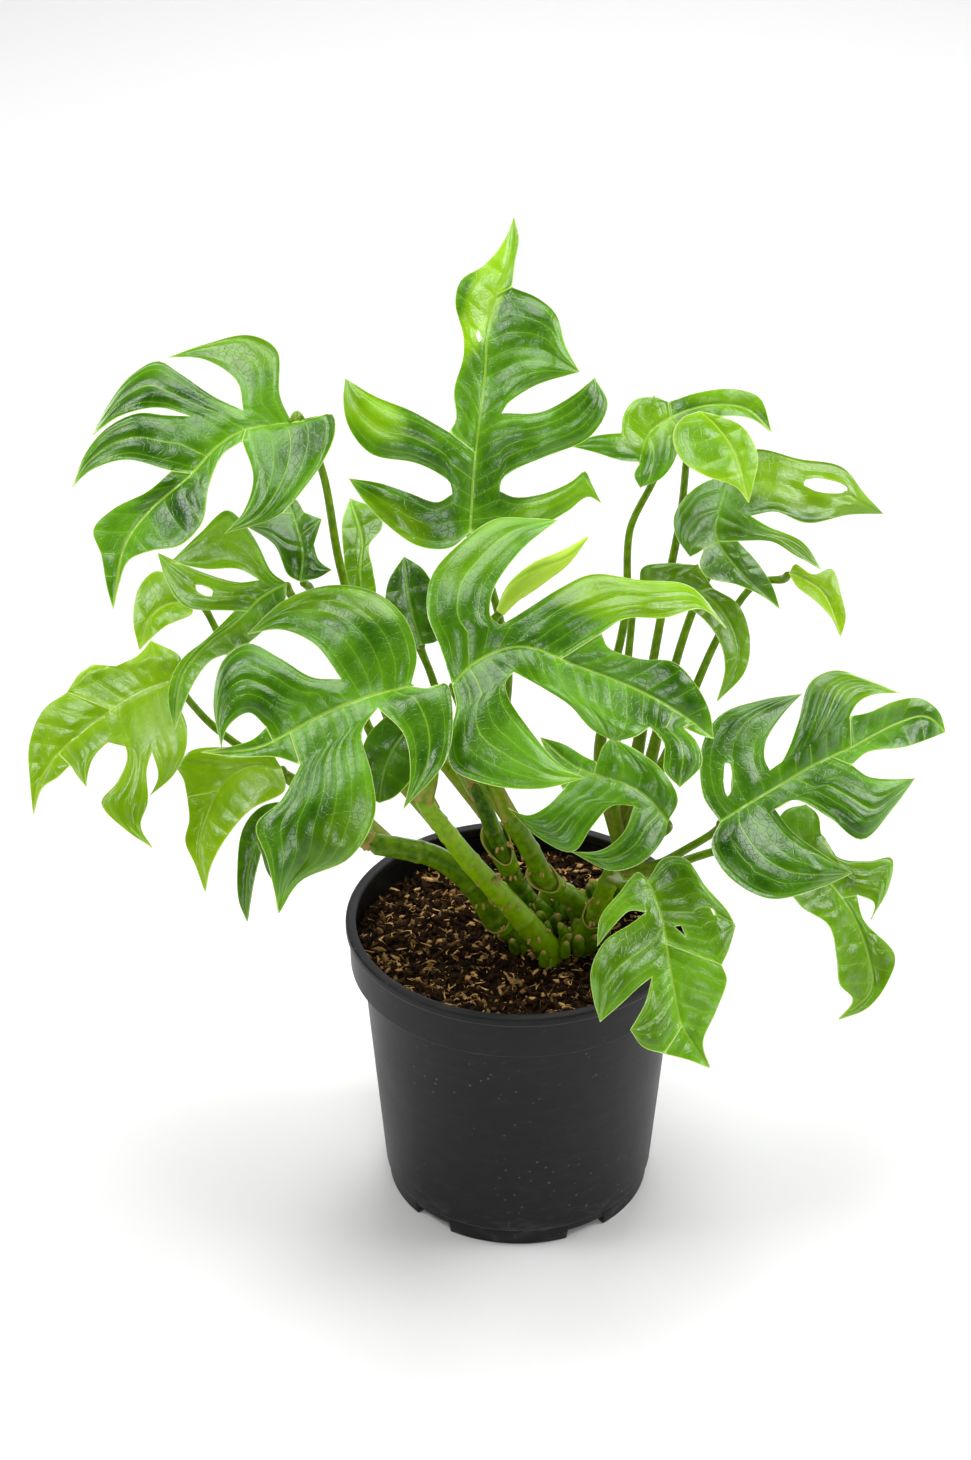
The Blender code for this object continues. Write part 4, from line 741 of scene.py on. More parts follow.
def smooth(points, steps=24):
    """A curve through given points: between two of them a cubic, with slopes that weigh each neighbour by
    the square root of its distance, so that it doesn't overshoot."""
    given = np.array(points, float)
    if len(given) == 2:
        share = np.linspace(0, 1, steps)[:, None]
        return given[0] * (1 - share) + given[1] * share
    given = np.vstack([2 * given[0] - given[1], given, 2 * given[-1] - given[-2]])
    share = np.linspace(0, 1, steps, endpoint=False)[:, None]
    rise, leave, arrive = 3 * share**2 - 2 * share**3, share**3 - 2 * share**2 + share, share**3 - share**2
    pieces = []
    for before, start, end, after in zip(given, given[1:], given[2:], given[3:]):
        gaps = (start - before, end - start, after - end)
        lead, span, trail = (max(np.linalg.norm(gap) ** 0.5, 1e-9) for gap in gaps)
        slope_start = (start - before) / lead - (end - before) / (lead + span) + (end - start) / span
        slope_end = (end - start) / span - (after - start) / (span + trail) + (after - end) / trail
        bent = leave * slope_start * span + arrive * slope_end * span
        pieces.append((1 - rise) * start + rise * end + bent)
    return np.vstack([*pieces, given[-2:-1]])


def step_lengths(curve):
    """Length of each step along a curve."""
    return np.linalg.norm(np.diff(curve, axis=0), axis=1)


def travel(curve):
    """How far along the curve each of its points lies."""
    return np.r_[0, np.cumsum(step_lengths(curve))]


def along(curve, shares):
    """Points at the given shares of a curve's length."""
    travelled = travel(curve)
    wanted = np.asarray(shares) * travelled[-1]
    return np.column_stack([np.interp(wanted, travelled, axis) for axis in curve.T])


def unit(vectors):
    """The vectors, each made one long."""
    return vectors / np.linalg.norm(vectors, axis=-1, keepdims=True)


def ridge(off, width):
    """A bell curve: 1 in the middle, falling with the square of the distance from it over the width."""
    return np.exp(-((off / width) ** 2))


def rising(value, over):
    """0 for all below 0, then evenly up to 1 over the given stretch."""
    return np.clip(value / over, 0, 1)


def crossed(points, corners):
    """Cross product of two sides of each triangle, which gives the way it faces and twice its area."""
    start = points[corners[:, 0]]
    return np.cross(points[corners[:, 1]] - start, points[corners[:, 2]] - start)


def outline_edges(corners):
    """The edges that only one triangle has, as pairs of points in that triangle's order, and which run each
    is."""
    runs = np.vstack([corners[:, [0, 1]], corners[:, [1, 2]], corners[:, [2, 0]]])
    _, place, count = np.unique(np.sort(runs, axis=1), axis=0, return_index=True, return_counts=True)
    return runs[place[count == 1]], place[count == 1]


def sinus_feet(curve, lobes):
    """For each sinus, the step of the midrib that its web line starts from, a little nearer the base than
    the sinus."""
    fine = along(curve, np.linspace(0, 1, SEARCH_STEPS + 1))
    length = step_lengths(fine).sum()
    steps = [0]
    for number, (_, _, _, sinus) in enumerate(lobes):
        distance = np.linalg.norm(fine - np.array(sinus, float), axis=1)
        share = distance.argmin() / SEARCH_STEPS - WEB_SLANT * distance.min() / length
        step = max(steps[-1] + 1, round(share * MIDRIB_STEPS))
        steps.append(min(step, MIDRIB_STEPS - len(lobes) + number))
    return steps


def blade_patches(leaf, metres, finer):
    """The blade as grids of pixels. A lobe is ruled between its near and far edge, which both start on the
    midrib, pass a sinus and meet at the lobe's tip. The rest of each half is ruled from the midrib to its
    edge. With each grid come its places on the midrib, its station along it, and what its veins and relief
    need."""
    curve = smooth(leaf["midrib"])
    steps_in_all = MIDRIB_STEPS * finer
    feet = along(curve, np.linspace(0, 1, steps_in_all + 1))
    length = step_lengths(feet).sum()
    rows = np.linspace(0, 1, WEB_ROWS + LOBE_ROWS + 1)
    web = np.linspace(0, 1, WEB_ROWS + 1)
    outward = np.linspace(0, 1, LOBE_ROWS + 1)[1:]
    beyond = np.clip((rows - rows[WEB_ROWS]) / (1 - rows[WEB_ROWS]), 0, 1)[:, None]
    for side in ("left", "right"):
        lobes = leaf[side]
        steps = [step * finer for step in sinus_feet(curve, lobes)]
        counted = 0.0
        for number, (out, tip, back, sinus) in enumerate(lobes):
            first, last = steps[number], steps[number + 1]
            if number == 0:
                near = along(smooth([feet[0], *out, tip]), rows)
            else:
                start = np.array(lobes[number - 1][3], float)
                near = np.vstack([feet[first] + web[:, None] * (start - feet[first]),
                                  along(smooth([start, *out, tip]), outward)])
            end = np.array(sinus, float)
            far = np.vstack([feet[last] + web[:, None] * (end - feet[last]),
                             along(smooth([end, *back[::-1], tip]), outward)])
            across = np.linspace(0, 1, last - first + 1)
            bow = feet[first:last + 1] - np.outer(1 - across, feet[first]) - np.outer(across, feet[last])
            keep = np.clip(1 - rows / rows[WEB_ROWS], 0, 1) ** 1.5 if number else (1 - rows) ** 2
            grid = near[:, None] * (1 - across)[None, :, None] + far[:, None] * across[None, :, None]
            grid = grid + keep[:, None, None] * bow[None]
            width = np.linalg.norm(far - near, axis=1)[:, None]
            off_middle = np.abs(across[None] - 0.5)
            narrowing = (1 - beyond) * (across[None] - 0.5) * (last - first)
            veins = max(1, 2 * round((width[2:-2].max() * metres / VEIN_SPACING - 1) / 2) + 1)
            yield dict(
                grid=grid, ribs=feet[first:last + 1],
                station=((first + last) / 2 + narrowing) / steps_in_all,
                lean=(across[None] - 0.5) * width * beyond * (1 if number % 2 else -1),
                cup=np.sin(np.pi * across)[None] * np.sin(np.pi * rows)[:, None], beyond=beyond,
                vein=counted + veins * across[None], gap=np.maximum(width, 1) / veins,
                lobe_vein=off_middle * np.maximum(width, 1),
                lobe_fold=beyond * (0.5 - off_middle) * off_middle * width * 2)
            counted += veins
        first = steps[-1]
        start = np.array(lobes[-1][3], float) if lobes else feet[0]
        shares = np.linspace(0, 1, steps_in_all - first + 1)[:, None]
        edge = along(smooth([start, *leaf[side + "_end"], leaf["midrib"][-1]]), shares[:, 0])
        outward_end = np.linspace(0, 1, END_COLUMNS)
        grid = feet[first:, None] * (1 - outward_end)[None, :, None]
        grid = grid + edge[:, None] * outward_end[None, :, None]
        span = length * (1 - first / steps_in_all)
        veins = max(2, round(span * metres / VEIN_SPACING * END_VEIN_SHARE))
        yield dict(
            grid=grid, ribs=feet[first:, None],
            station=(first + shares * (steps_in_all - first)) / steps_in_all,
            lean=0.0, cup=0.0, beyond=0.0,
            vein=counted + veins * (shares - END_VEIN_SLANT * np.sqrt(outward_end)[None] * (1 - shares)),
            gap=span / veins, lobe_vein=NO_LOBE_VEIN, lobe_fold=0.0)


def blade_height(distance, station, lean, cup, beyond, length):
    """How far the blade stands off its plane towards the viewer: a parabola along the midrib, halves that
    rise from it and fall again, lobe tips that drop with the square of their reach, and each lobe a little
    twisted and cupped."""
    arch = ARCH * length * 4 * station * (1 - station)
    fold = FOLD * distance * (1 - 1.5 * distance / length)
    drop = -LOBE_DROP * length * beyond**2 - LOBE_DROP * length * station**3
    return arch + fold + drop + LOBE_TWIST * lean + LOBE_CUP * cup


def to_edges(points, corners):
    """Distance of each point from the blade's outline: the least distance to any of its edges."""
    rim, _ = outline_edges(corners)
    start, run = points[rim[:, 0]], points[rim[:, 1]] - points[rim[:, 0]]
    square = np.maximum((run**2).sum(axis=1), 1e-9)
    nearest = np.full(len(points), 1e9)
    for some in np.array_split(np.arange(len(rim)), max(1, len(rim) // 40)):
        offset = points[:, None] - start[some]
        share = np.clip((offset * run[some]).sum(axis=2) / square[some], 0, 1)
        gone = np.linalg.norm(offset - share[..., None] * run[some], axis=2)
        nearest = np.minimum(nearest, gone.min(axis=1))
    return nearest


def ellipse_share(points, x, y, long, wide, lean):
    """How far out in an ellipse of pixels each point lies: 0 at its middle and 1 on its edge."""
    axis = np.array((math.cos(math.radians(lean)), math.sin(math.radians(lean))))
    offset = points - (x, y)
    return np.hypot(offset @ axis / long, offset @ np.array((-axis[1], axis[0])) / wide)


def blade_surface(name):
    """One blade's upper face. Each pixel is carried along its line of sight onto the blade's plane and
    raised by the relief. Veins are counted across the blade, and between two of them it puckers up as the
    sine of the count."""
    leaf = LEAVES[name]
    behind, turned_by, raised = BLADE_PLANES[name]
    turn, lift = math.radians(turned_by), math.radians(raised)
    faces_to = np.array((math.sin(turn) * math.cos(lift), -math.cos(turn) * math.cos(lift), math.sin(lift)))
    base = seen_at(*leaf["midrib"][0], behind)
    metres = np.linalg.norm(base - VIEW_PLACE) / VIEW_FOCAL
    pixels, facts, quads = [], [], []
    for patch in blade_patches(leaf, metres, FINER_FOR_HOLE.get(name, FINER)):
        size = patch["grid"].shape[:2]
        columns = [np.linalg.norm(patch["grid"] - patch["ribs"], axis=2)]
        columns += [np.broadcast_to(patch[key], size) for key in BLADE_FACTS[1:]]
        quads.append(sum(map(len, pixels)) + grid_quads(*size))
        pixels.append(patch["grid"].reshape(-1, 2))
        facts.append(np.stack(columns, axis=2).reshape(-1, len(BLADE_FACTS)))
    pixels, facts = np.vstack(pixels), np.vstack(facts)
    _, keep, same = np.unique(np.round(pixels, 3), axis=0, return_index=True, return_inverse=True)
    loose = halved(np.vstack(quads))
    corners = same.reshape(-1)[loose]
    whole = not_flat(corners)
    corners, loose = corners[whole], loose[whole]
    points = pixels[keep]
    for hole in LEAF_HOLES.get(name, []):
        share = ellipse_share(points, *hole)
        stay = ~(share[corners] < 1).all(axis=1)
        corners, loose = corners[stay], loose[stay]
        inside = share < 1
        points[inside] = hole[:2] + (points[inside] - hole[:2]) / np.maximum(share[inside], 0.05)[:, None]
    used, again = np.unique(corners, return_inverse=True)
    points, at_point = points[used], facts[keep][used]
    corners = again.reshape(-1, 3)
    wrong = crossed(points, corners) > 0
    corners[wrong], loose[wrong] = corners[wrong][:, ::-1], loose[wrong][:, ::-1]

    directions = line_of_sight(points)
    flat = VIEW_PLACE + (((base - VIEW_PLACE) @ faces_to) / (directions @ faces_to))[:, None] * directions
    edge = to_edges(flat, corners)
    rib, station, lean, cup, beyond, vein, gap, lobe_vein, lobe_fold = at_point.T
    rib, lean, gap, lobe_vein = rib * metres, lean * metres, gap * metres, lobe_vein * metres
    length = step_lengths(smooth(leaf["midrib"])).sum() * metres
    height = blade_height(rib, station, lean, cup, beyond, length)
    pucker = PUCKER * (1 + PUCKER_CHANGE * crumbs(flat[:, 0], flat[:, 2], 0.026, 9))
    pucker = pucker * np.minimum(gap, WIDEST_PUCKER) * np.abs(np.sin(np.pi * (vein - 0.5))) ** 0.8
    height += pucker * (rising(edge, 0.004) * rising(rib - 0.0015, 0.004))
    height -= RIB_SINK * ridge(rib, RIB_WIDTH) * rising(edge, 0.003)
    height -= LOBE_VEIN_SINK * ridge(lobe_vein, LOBE_VEIN_WIDTH) * rising(edge, 0.004)
    height += EDGE_WAVE * crumbs(flat[:, 0], flat[:, 2], 0.030, 5) * np.clip(1 - edge / 0.012, 0, 1)
    height += LOBE_FOLD * 2 * lobe_fold * metres
    for tall, size, seed, from_edge in BLADE_WAVES:
        height += tall * crumbs(flat[:, 0], flat[:, 2], size, seed) * rising(edge, from_edge)
    # Young growth and painted light on lit, glossy lobes: how far each point takes the yellow-green colour
    young = np.zeros(len(points))
    for *ellipse, share in YOUNG_AND_LIT_PLACES.get(name, []):
        young = np.maximum(young, share * np.clip(1.5 * (1 - ellipse_share(points, *ellipse)**2), 0, 1))
    points = flat + height[:, None] * -unit(directions)
    told = dict(zip(BLADE_FACTS, np.moveaxis(facts[loose], 2, 0)))
    marks = dict(
        vein_count=told["vein"], vein_gap=told["gap"] * metres, lobe_vein=told["lobe_vein"] * metres,
        rib=told["rib"] * metres, margin=edge[corners], young=young[corners])
    return points, corners, marks


def leaf_solid(points, corners, marks):
    """The blade as a closed skin: a lower face one thickness below the upper one along its normals, thinner
    at the margin, and a strip that joins the two along the blade's outline."""
    normals = np.zeros_like(points)
    facing = crossed(points, corners)
    for corner in corners.T:
        np.add.at(normals, corner, facing)
    normals /= np.maximum(np.linalg.norm(normals, axis=1), 1e-12)[:, None]
    margin = np.zeros(len(points))
    margin[corners] = marks["margin"]
    thick = LEAF_THICKNESS * (EDGE_THINNER + (1 - EDGE_THINNER) * rising(margin, 0.002))
    under = points - normals * thick[:, None]
    rim, run = outline_edges(corners)
    start, end = rim.T
    more = len(points)
    skirt = np.vstack([np.column_stack([end, end + more, start]),
                       np.column_stack([end + more, start + more, start])])
    whole = {}
    for mark, values in marks.items():
        at_start, at_end = values.T.ravel()[run], np.roll(values, -1, axis=1).T.ravel()[run]
        strip = np.vstack([np.column_stack([at_end, at_end, at_start]),
                           np.column_stack([at_end, at_start, at_start])])
        whole[mark] = np.vstack([values, values[:, ::-1], strip])
    sides = np.repeat((0.0, 1.0, 0.3), (len(corners), len(corners), len(skirt)))
    whole["under"] = np.repeat(sides[:, None], 3, axis=1)
    return np.vstack([points, under]), np.vstack([corners, corners[:, ::-1] + more, skirt]), whole


LEAF_COLOURS = ("Deep", "Bright", "Young", "Vein", "Rim", "Underside")


def leaf_markings():
    """What every leaf's finish shares: a blotchy green, pale lines on the veins and the rim, and the height
    of a fine net of veins. It reads the marks of its blade."""
    group = bpy.data.node_groups.new("leaf_markings", "ShaderNodeTree")
    for name in LEAF_COLOURS:
        group.interface.new_socket(name, in_out="INPUT", socket_type="NodeSocketColor")
    group.interface.new_socket("Vein Strength", in_out="INPUT", socket_type="NodeSocketFloat")
    group.interface.new_socket("Colour", in_out="OUTPUT", socket_type="NodeSocketColor")
    group.interface.new_socket("Roughness", in_out="OUTPUT", socket_type="NodeSocketFloat")
    group.interface.new_socket("Height", in_out="OUTPUT", socket_type="NodeSocketFloat")
    leaf = Finish(group)

    def line(distance, inner, outer):
        """1 on the line, falling to 0 between inner and outer metres from it."""
        return leaf.fade(distance, inner, outer, 1.0, 0.0, kind="SMOOTHSTEP")

    given = leaf.put("NodeGroupInput")
    place = leaf.place()
    cloud = leaf.noise(place, 26.0, 4.0, 0.6)
    fleck = leaf.noise(place, 420.0, 3.0, 0.6)
    grain = leaf.noise(place, 1500.0, 2.0, 0.6)
    net = line(leaf.cells(place, 330.0, "DISTANCE_TO_EDGE"), 0.0, 0.08)
    rib, lobe_vein, margin, under = (leaf.mark(name) for name in ("rib", "lobe_vein", "margin", "under"))
    off_middle = leaf.maths("SUBTRACT", leaf.maths("FRACT", leaf.mark("vein_count")), 0.5)
    off_side = leaf.maths("MULTIPLY", leaf.maths("ABSOLUTE", off_middle), leaf.mark("vein_gap"))
    side_vein, side_glow = line(off_side, 0.00008, 0.00036), line(off_side, 0.0, 0.0024)
    midrib, rib_glow = line(rib, 0.00035, 0.00085), line(rib, 0.0008, 0.0060)
    rim, rim_glow = line(margin, 0.00008, 0.00042), line(margin, 0.0, 0.0042)

    blotch = leaf.fade(cloud, 0.34, 0.66)
    pale = leaf.weighed(
        (rib_glow, 0.22), (rim_glow, 0.25), (side_glow, 0.10), (blotch, 0.65), (fleck, 0.22))
    pale = leaf.maths("SUBTRACT", pale, 0.11, clamp=True)
    lobe_line = leaf.maths("MULTIPLY", line(lobe_vein, 0.00016, 0.00052), 0.55)
    lines = leaf.maths("MAXIMUM", leaf.maths("MULTIPLY", side_vein, 0.28), lobe_line)
    lines = leaf.maths("MAXIMUM", lines, midrib)
    # Towards the yellow-green where a blade is young, and where lit lobes are painted lighter as painted
    # light
    young_and_lit_share = leaf.maths("MULTIPLY", leaf.mark("young"), leaf.maths("MULTIPLY_ADD", pale, 0.4, 0.55))
    skin = leaf.mixed(pale, given["Deep"], given["Bright"])
    skin = leaf.mixed(young_and_lit_share, skin, given["Young"])
    skin = leaf.mixed(leaf.maths("MULTIPLY", lines, given["Vein Strength"]), skin, given["Vein"])
    skin = leaf.mixed(leaf.maths("MULTIPLY", under, 0.6), skin, given["Underside"])

    height = leaf.weighed((fleck, 0.35), (net, -0.32), (grain, 0.20), (side_glow, -0.7), (lines, -0.9))
    leaf.put("NodeGroupOutput", in_Colour=leaf.mixed(rim, skin, given["Rim"]),
             in_Roughness=leaf.maths("MULTIPLY_ADD", under, 0.30, leaf.fade(cloud, 0.3, 0.7, 0.18, 0.31)),
             in_Height=leaf.maths("MULTIPLY", height, leaf.maths("MULTIPLY_ADD", under, -0.85, 1.0)))
    return group


markings = leaf_markings()


def leaf_finish(name, vein_strength, *colours):
    """A leaf's waxy skin: the shared markings in its own colours, over a body that lets a little light
    through."""
    leaf = Finish(bpy.data.materials.new(name))
    own = {"in_" + part: (*colour, 1.0) for part, colour in zip(LEAF_COLOURS, colours)}
    marked = leaf.put("ShaderNodeGroup", node_tree=markings, in_Vein_Strength=vein_strength, **own)
    return leaf.skin(
        in_Base_Color=marked["Colour"], in_Roughness=marked["Roughness"], in_Specular_IOR_Level=0.48,
        in_Subsurface_Weight=0.10, in_Subsurface_Radius=(0.5, 1.0, 0.15), in_Subsurface_Scale=0.0022,
        in_Normal=leaf.bump(marked["Height"], 0.25, 0.0005))


leaf_finishes = {
    "leaf_green": leaf_finish(
        "leaf_green", 0.85, (0.012, 0.066, 0.0002), (0.130, 0.365, 0.0006), (0.310, 0.580, 0.002),
        (0.28, 0.48, 0.04), (0.46, 0.64, 0.14), (0.09, 0.20, 0.01)),
    # A paler lime copy: young blades, and painted back light shining through the blade
    "leaf_lime": leaf_finish(
        "leaf_lime", 0.55, (0.080, 0.230, 0.0004), (0.235, 0.470, 0.0010), (0.370, 0.560, 0.002),
        (0.38, 0.55, 0.04), (0.52, 0.66, 0.12), (0.22, 0.38, 0.01)),
    # A darker copy of the green: painted shade for leaves that lie inside and behind the plant
    "leaf_dark": leaf_finish(
        "leaf_dark", 0.65, (0.010, 0.050, 0.0002), (0.095, 0.260, 0.0005), (0.270, 0.500, 0.002),
        (0.18, 0.35, 0.03), (0.34, 0.50, 0.09), (0.06, 0.14, 0.01)),
}
leaf_colours = dict.fromkeys(LEAVES, "leaf_green")
# These blades take the lime copy: partly young growth, partly painted back light, as on the far left leaf
for leaf_name in ("leaf_far_left", "leaf_low_left", "leaf_right_small", "leaf_left_low_behind",
                  "leaf_top_right"):
    leaf_colours[leaf_name] = "leaf_lime"
# Leaves deep in and behind the plant take the darker copy, as painted shade
for leaf_name in ("leaf_low_left_behind", "leaf_low_inner_left", "leaf_inner_dark", "leaf_left_behind",
                  "leaf_back_arching", "leaf_right_upper"):
    leaf_colours[leaf_name] = "leaf_dark"
blades = {}
for leaf_name, colour in leaf_colours.items():
    blades[leaf_name] = blade_surface(leaf_name)
    blade_points, blade_corners, blade_marks = leaf_solid(*blades[leaf_name])
    plant_piece("blade" + leaf_name[4:], blade_points, blade_corners, leaf_finishes[colour], leaf_name,
                colour, marks=blade_marks)


# Leafy stems. Jointed green canes root in the mix, each joint ringed by the tan scar of an old leaf and a
# few root stubs. Long stalks rise from them, broad and clasping at the foot, thin and round below the
# blade.
# A cane has its radius at the foot and at the top, and its course as points of the photograph: x, y and the
# distance behind the pot's axis. A stalk has the leaf it carries, where it leaves the cane as a share of
# the cane's length, and what it passes.
STEMS = {
    "leafy_stem_left": dict(
        radii=(0.0054, 0.0046),
        course=[(522, 945, -0.003), (497, 921, -0.004), (472, 885, -0.006), (438, 858, -0.010),
                (400, 848, -0.014),
                (368, 843, -0.016)],
        stalks=[("leaf_far_left", 0.97, [(318, 800, -0.004), (262, 762, 0.008), (212, 725, 0.014)]),
                ("leaf_left_low_behind", 0.90, [(335, 790, 0.012), (275, 715, 0.030), (225, 645, 0.042)]),
                ("leaf_low_left", 0.99, [(338, 815, -0.018), (305, 785, -0.016)]),
                ("leaf_low_left_behind", 0.93, [(345, 835, -0.006), (318, 815, 0.006)])]),
    "leafy_stem_front": dict(
        radii=(0.0060, 0.0034),
        course=[(550, 957, -0.013), (514, 909, -0.018), (472, 864, -0.025), (441, 825, -0.031),
                (419, 795, -0.036)],
        stalks=[("leaf_front_left", 0.96, [(433, 772, -0.048), (434, 735, -0.062)]),
                ("leaf_upper_left", 0.90,
                 [(395, 730, -0.022), (362, 640, -0.002), (340, 565, 0.009), (322, 470, 0.012)]),
                ("leaf_mid_left", 0.82, [(385, 760, -0.012), (352, 690, 0.000), (318, 628, 0.004)])]),
    "leafy_stem_middle": dict(
        radii=(0.0046, 0.0034),
        course=[(545, 925, 0.013), (522, 892, 0.010), (502, 852, 0.008), (484, 806, 0.008),
                (474, 780, 0.010)],
        stalks=[("leaf_top_centre", 0.94, [(500, 730, 0.012), (508, 668, 0.016), (492, 590, 0.022)]),
                ("leaf_inner_left", 0.90, [(430, 720, 0.024), (388, 655, 0.038)]),
                ("leaf_inner_dark", 0.97, [(445, 715, 0.018), (430, 672, 0.026)]),
                ("leaf_left_behind", 0.80, [(420, 735, 0.036), (355, 660, 0.050), (318, 605, 0.050)]),
                ("leaf_furled", 0.99, [(486, 710, 0.002), (496, 650, 0.000)])]),
    "leafy_stem_centre": dict(
        radii=(0.0048, 0.0040),
        course=[(588, 928, 0.011), (572, 898, 0.006), (548, 882, 0.000), (530, 850, -0.006),
                (508, 814, -0.012)],
        stalks=[("leaf_centre", 0.97, [(488, 770, -0.022), (466, 725, -0.038)]),
                ("leaf_low_inner_left", 0.90, [(478, 775, -0.016), (455, 738, -0.023)])]),
    "leafy_stem_right": dict(
        radii=(0.0048, 0.0040),
        course=[(580, 949, -0.006), (594, 918, -0.008), (606, 888, -0.010), (616, 866, -0.011)],
        stalks=[("leaf_centre_right_low", 0.93, [(640, 848, -0.008), (660, 835, -0.012)]),
                ("leaf_right", 0.97, [(648, 868, -0.014), (690, 847, -0.018)]),
                ("leaf_right_hanging", 0.86, [(660, 868, 0.000), (720, 850, 0.012), (765, 843, 0.018)]),
                ("leaf_front_low", 0.90, [(624, 884, -0.030), (638, 882, -0.050)])]),
    "leafy_stem_tall": dict(
        radii=(0.0050, 0.0040),
        course=[(612, 916, 0.022), (618, 880, 0.022), (622, 845, 0.024)],
        stalks=[("leaf_back_right", 0.97,
                 [(600, 760, 0.034), (612, 680, 0.046), (626, 610, 0.060), (630, 530, 0.074)]),
                ("leaf_back_arching", 0.90, [(612, 780, 0.022), (624, 700, 0.028), (630, 640, 0.034)]),
                ("leaf_top_right", 0.98,
                 [(636, 760, 0.036), (648, 690, 0.044), (662, 612, 0.054), (680, 520, 0.062)]),
                ("leaf_right_upper", 0.92,
                 [(648, 770, 0.030), (668, 690, 0.042), (690, 618, 0.050), (722, 540, 0.064)]),
                ("leaf_right_small", 0.84,
                 [(655, 780, 0.022), (690, 700, 0.034), (722, 630, 0.046), (757, 583, 0.056)])]),
}
CANE_UPRIGHT = 0.006
CANE_BURIED = 0.012
CANE_STEPS, CANE_SIDES = 150, 26
JOINT_SPACING = 0.020
JOINT_SWELL, JOINT_WIDTH = 0.08, 0.0016
HIGHEST_JOINT, HIGHEST_ROOTS = 0.97, 0.62
SCAR_OFFSET, SCAR_WIDTH = 0.0012, 0.0007
STALK_FOOT_RADIUS = 0.0027
STALK_TIP_RADIUS = 0.00145
STALK_STEPS, STALK_SIDES = 90, 18
STALK_BEND = 0.007
SHEATH_SHARE = 0.34
SEAT_GAP = 0.0002
CROWN_BUDS = 7
STALK_GREEN = (0.022, 0.070, 0.0002, 1.0)
STALK_PALE = (0.200, 0.360, 0.0006, 1.0)
SCAR_TAN = (0.380, 0.240, 0.075, 1.0)
# How much paler, or darker, each cane is than the next
CANE_TONES = {"leafy_stem_left": -0.12, "leafy_stem_front": 0.42, "leafy_stem_middle": -0.25,
              "leafy_stem_centre": 0.05, "leafy_stem_right": 0.25, "leafy_stem_tall": 0.0}
# Old sheaths on the canes: where along its cane each starts, how tall it is and how far its rim stands out
COLLARS = {
    "leafy_stem_left": [(0.10, 0.010, 0.0008)],
    "leafy_stem_middle": [(0.40, 0.024, 0.0016)],
    "leafy_stem_centre": [(0.34, 0.016, 0.0012)],
    "leafy_stem_right": [(0.22, 0.012, 0.0012)],
    "leafy_stem_tall": [(0.45, 0.009, 0.0008)],
}
COLLAR_ROWS, COLLAR_WALL = 9, 0.0009
FURLED_COURSE = [(500, 612, 0.000), (514, 592, 0.002), (538, 573, 0.005), (564, 558, 0.008),
                 (588, 537, 0.012)]

stalk = Finish(bpy.data.materials.new("stalk_green"))
up_stalk = stalk.maths("MULTIPLY", stalk.mark("along"), 60.0)
streaks = stalk.noise(stalk.put("ShaderNodeCombineXYZ", in_X=stalk.mark("around"), in_Y=up_stalk)["Vector"],
                      3.2, 4.0, 0.6)
paleness = stalk.maths("MULTIPLY_ADD", stalk.ramp(streaks, (0.36, 0), (0.68, 1)), 0.55, stalk.mark("pale"),
                       clamp=True)
dry = stalk.fade(stalk.noise(stalk.place(), 70.0, 3.0), 0.3, 0.6, 0.5, 1.3)
dry = stalk.maths("MULTIPLY", stalk.mark("scar"), dry, clamp=True)
stalk_green = stalk.skin(
    in_Base_Color=stalk.mixed(dry, stalk.mixed(paleness, STALK_GREEN, STALK_PALE), SCAR_TAN),
    in_Roughness=stalk.fade(dry, 0.0, 1.0, 0.32, 0.75), in_Specular_IOR_Level=0.18,
    in_Subsurface_Weight=0.15, in_Subsurface_Radius=(0.5, 1.0, 0.15), in_Subsurface_Scale=0.002,
    in_Normal=stalk.bump(streaks, 0.18, 0.0004))


def padded(values):
    """Values along a path as a column, with the first and the last said twice for the closed ends of its
    sweep."""
    return np.r_[values[0], values, values[-1]][:, None]


def at_share(path, share):
    """The point at a share of a path that has even steps."""
    return np.array([np.interp(share, np.linspace(0, 1, len(path)), axis) for axis in path.T])


def across(ahead, place):
    """Two directions square to the way ahead: the first sideways to the camera, the second towards it."""
    side = unit(np.cross(ahead, VIEW_PLACE - place))
    return side, np.cross(side, ahead)


def swept(path, radii, sides=18, broad=1.0, groove=0.0):
    """A round section carried along a path and closed at both ends. The section lies square to the path and
    is broad times as wide as deep, with a groove where it faces the camera. Also how far along and around
    each point is."""
    ahead = unit(np.gradient(path, axis=0))
    side, front = across(ahead, path.mean(axis=0))
    turn = np.linspace(0, 2 * np.pi, sides + 1)
    width = np.broadcast_to(broad, len(path))[:, None]
    depth = np.broadcast_to(groove, len(path))[:, None]
    off_front = np.angle(np.exp(1j * (turn - np.pi / 2)))
    reach = np.asarray(radii)[:, None] * (1 - depth * ridge(off_front, 0.45))
    ring = (reach * width * np.cos(turn))[..., None] * side[:, None]
    points = path[:, None] + ring + (reach * np.sin(turn))[..., None] * front[:, None]
    closed = np.concatenate([np.broadcast_to(path[:1, None], points[:1].shape), points,
                             np.broadcast_to(path[-1:, None], points[:1].shape)])
    return closed, padded(travel(path)), np.abs(turn / np.pi - 1)[None]


def stem_body(parts):
    """Sweeps put together as one piece: each is welded on its own, and its marks go with the points that
    stay."""
    points, corners, marks = [], [], []
    for grid, *values in parts:
        own_points, own_corners, keep = welded(grid.reshape(-1, 3), grid_quads(*grid.shape[:2]))
        corners.append(own_corners + sum(map(len, points)))
        points.append(own_points)
        marks.append([np.broadcast_to(value, grid.shape[:2]).ravel()[keep] for value in values])
    named = dict(zip(("along", "around", "pale", "scar"), map(np.concatenate, zip(*marks))))
    return np.vstack(points), np.vstack(corners), named


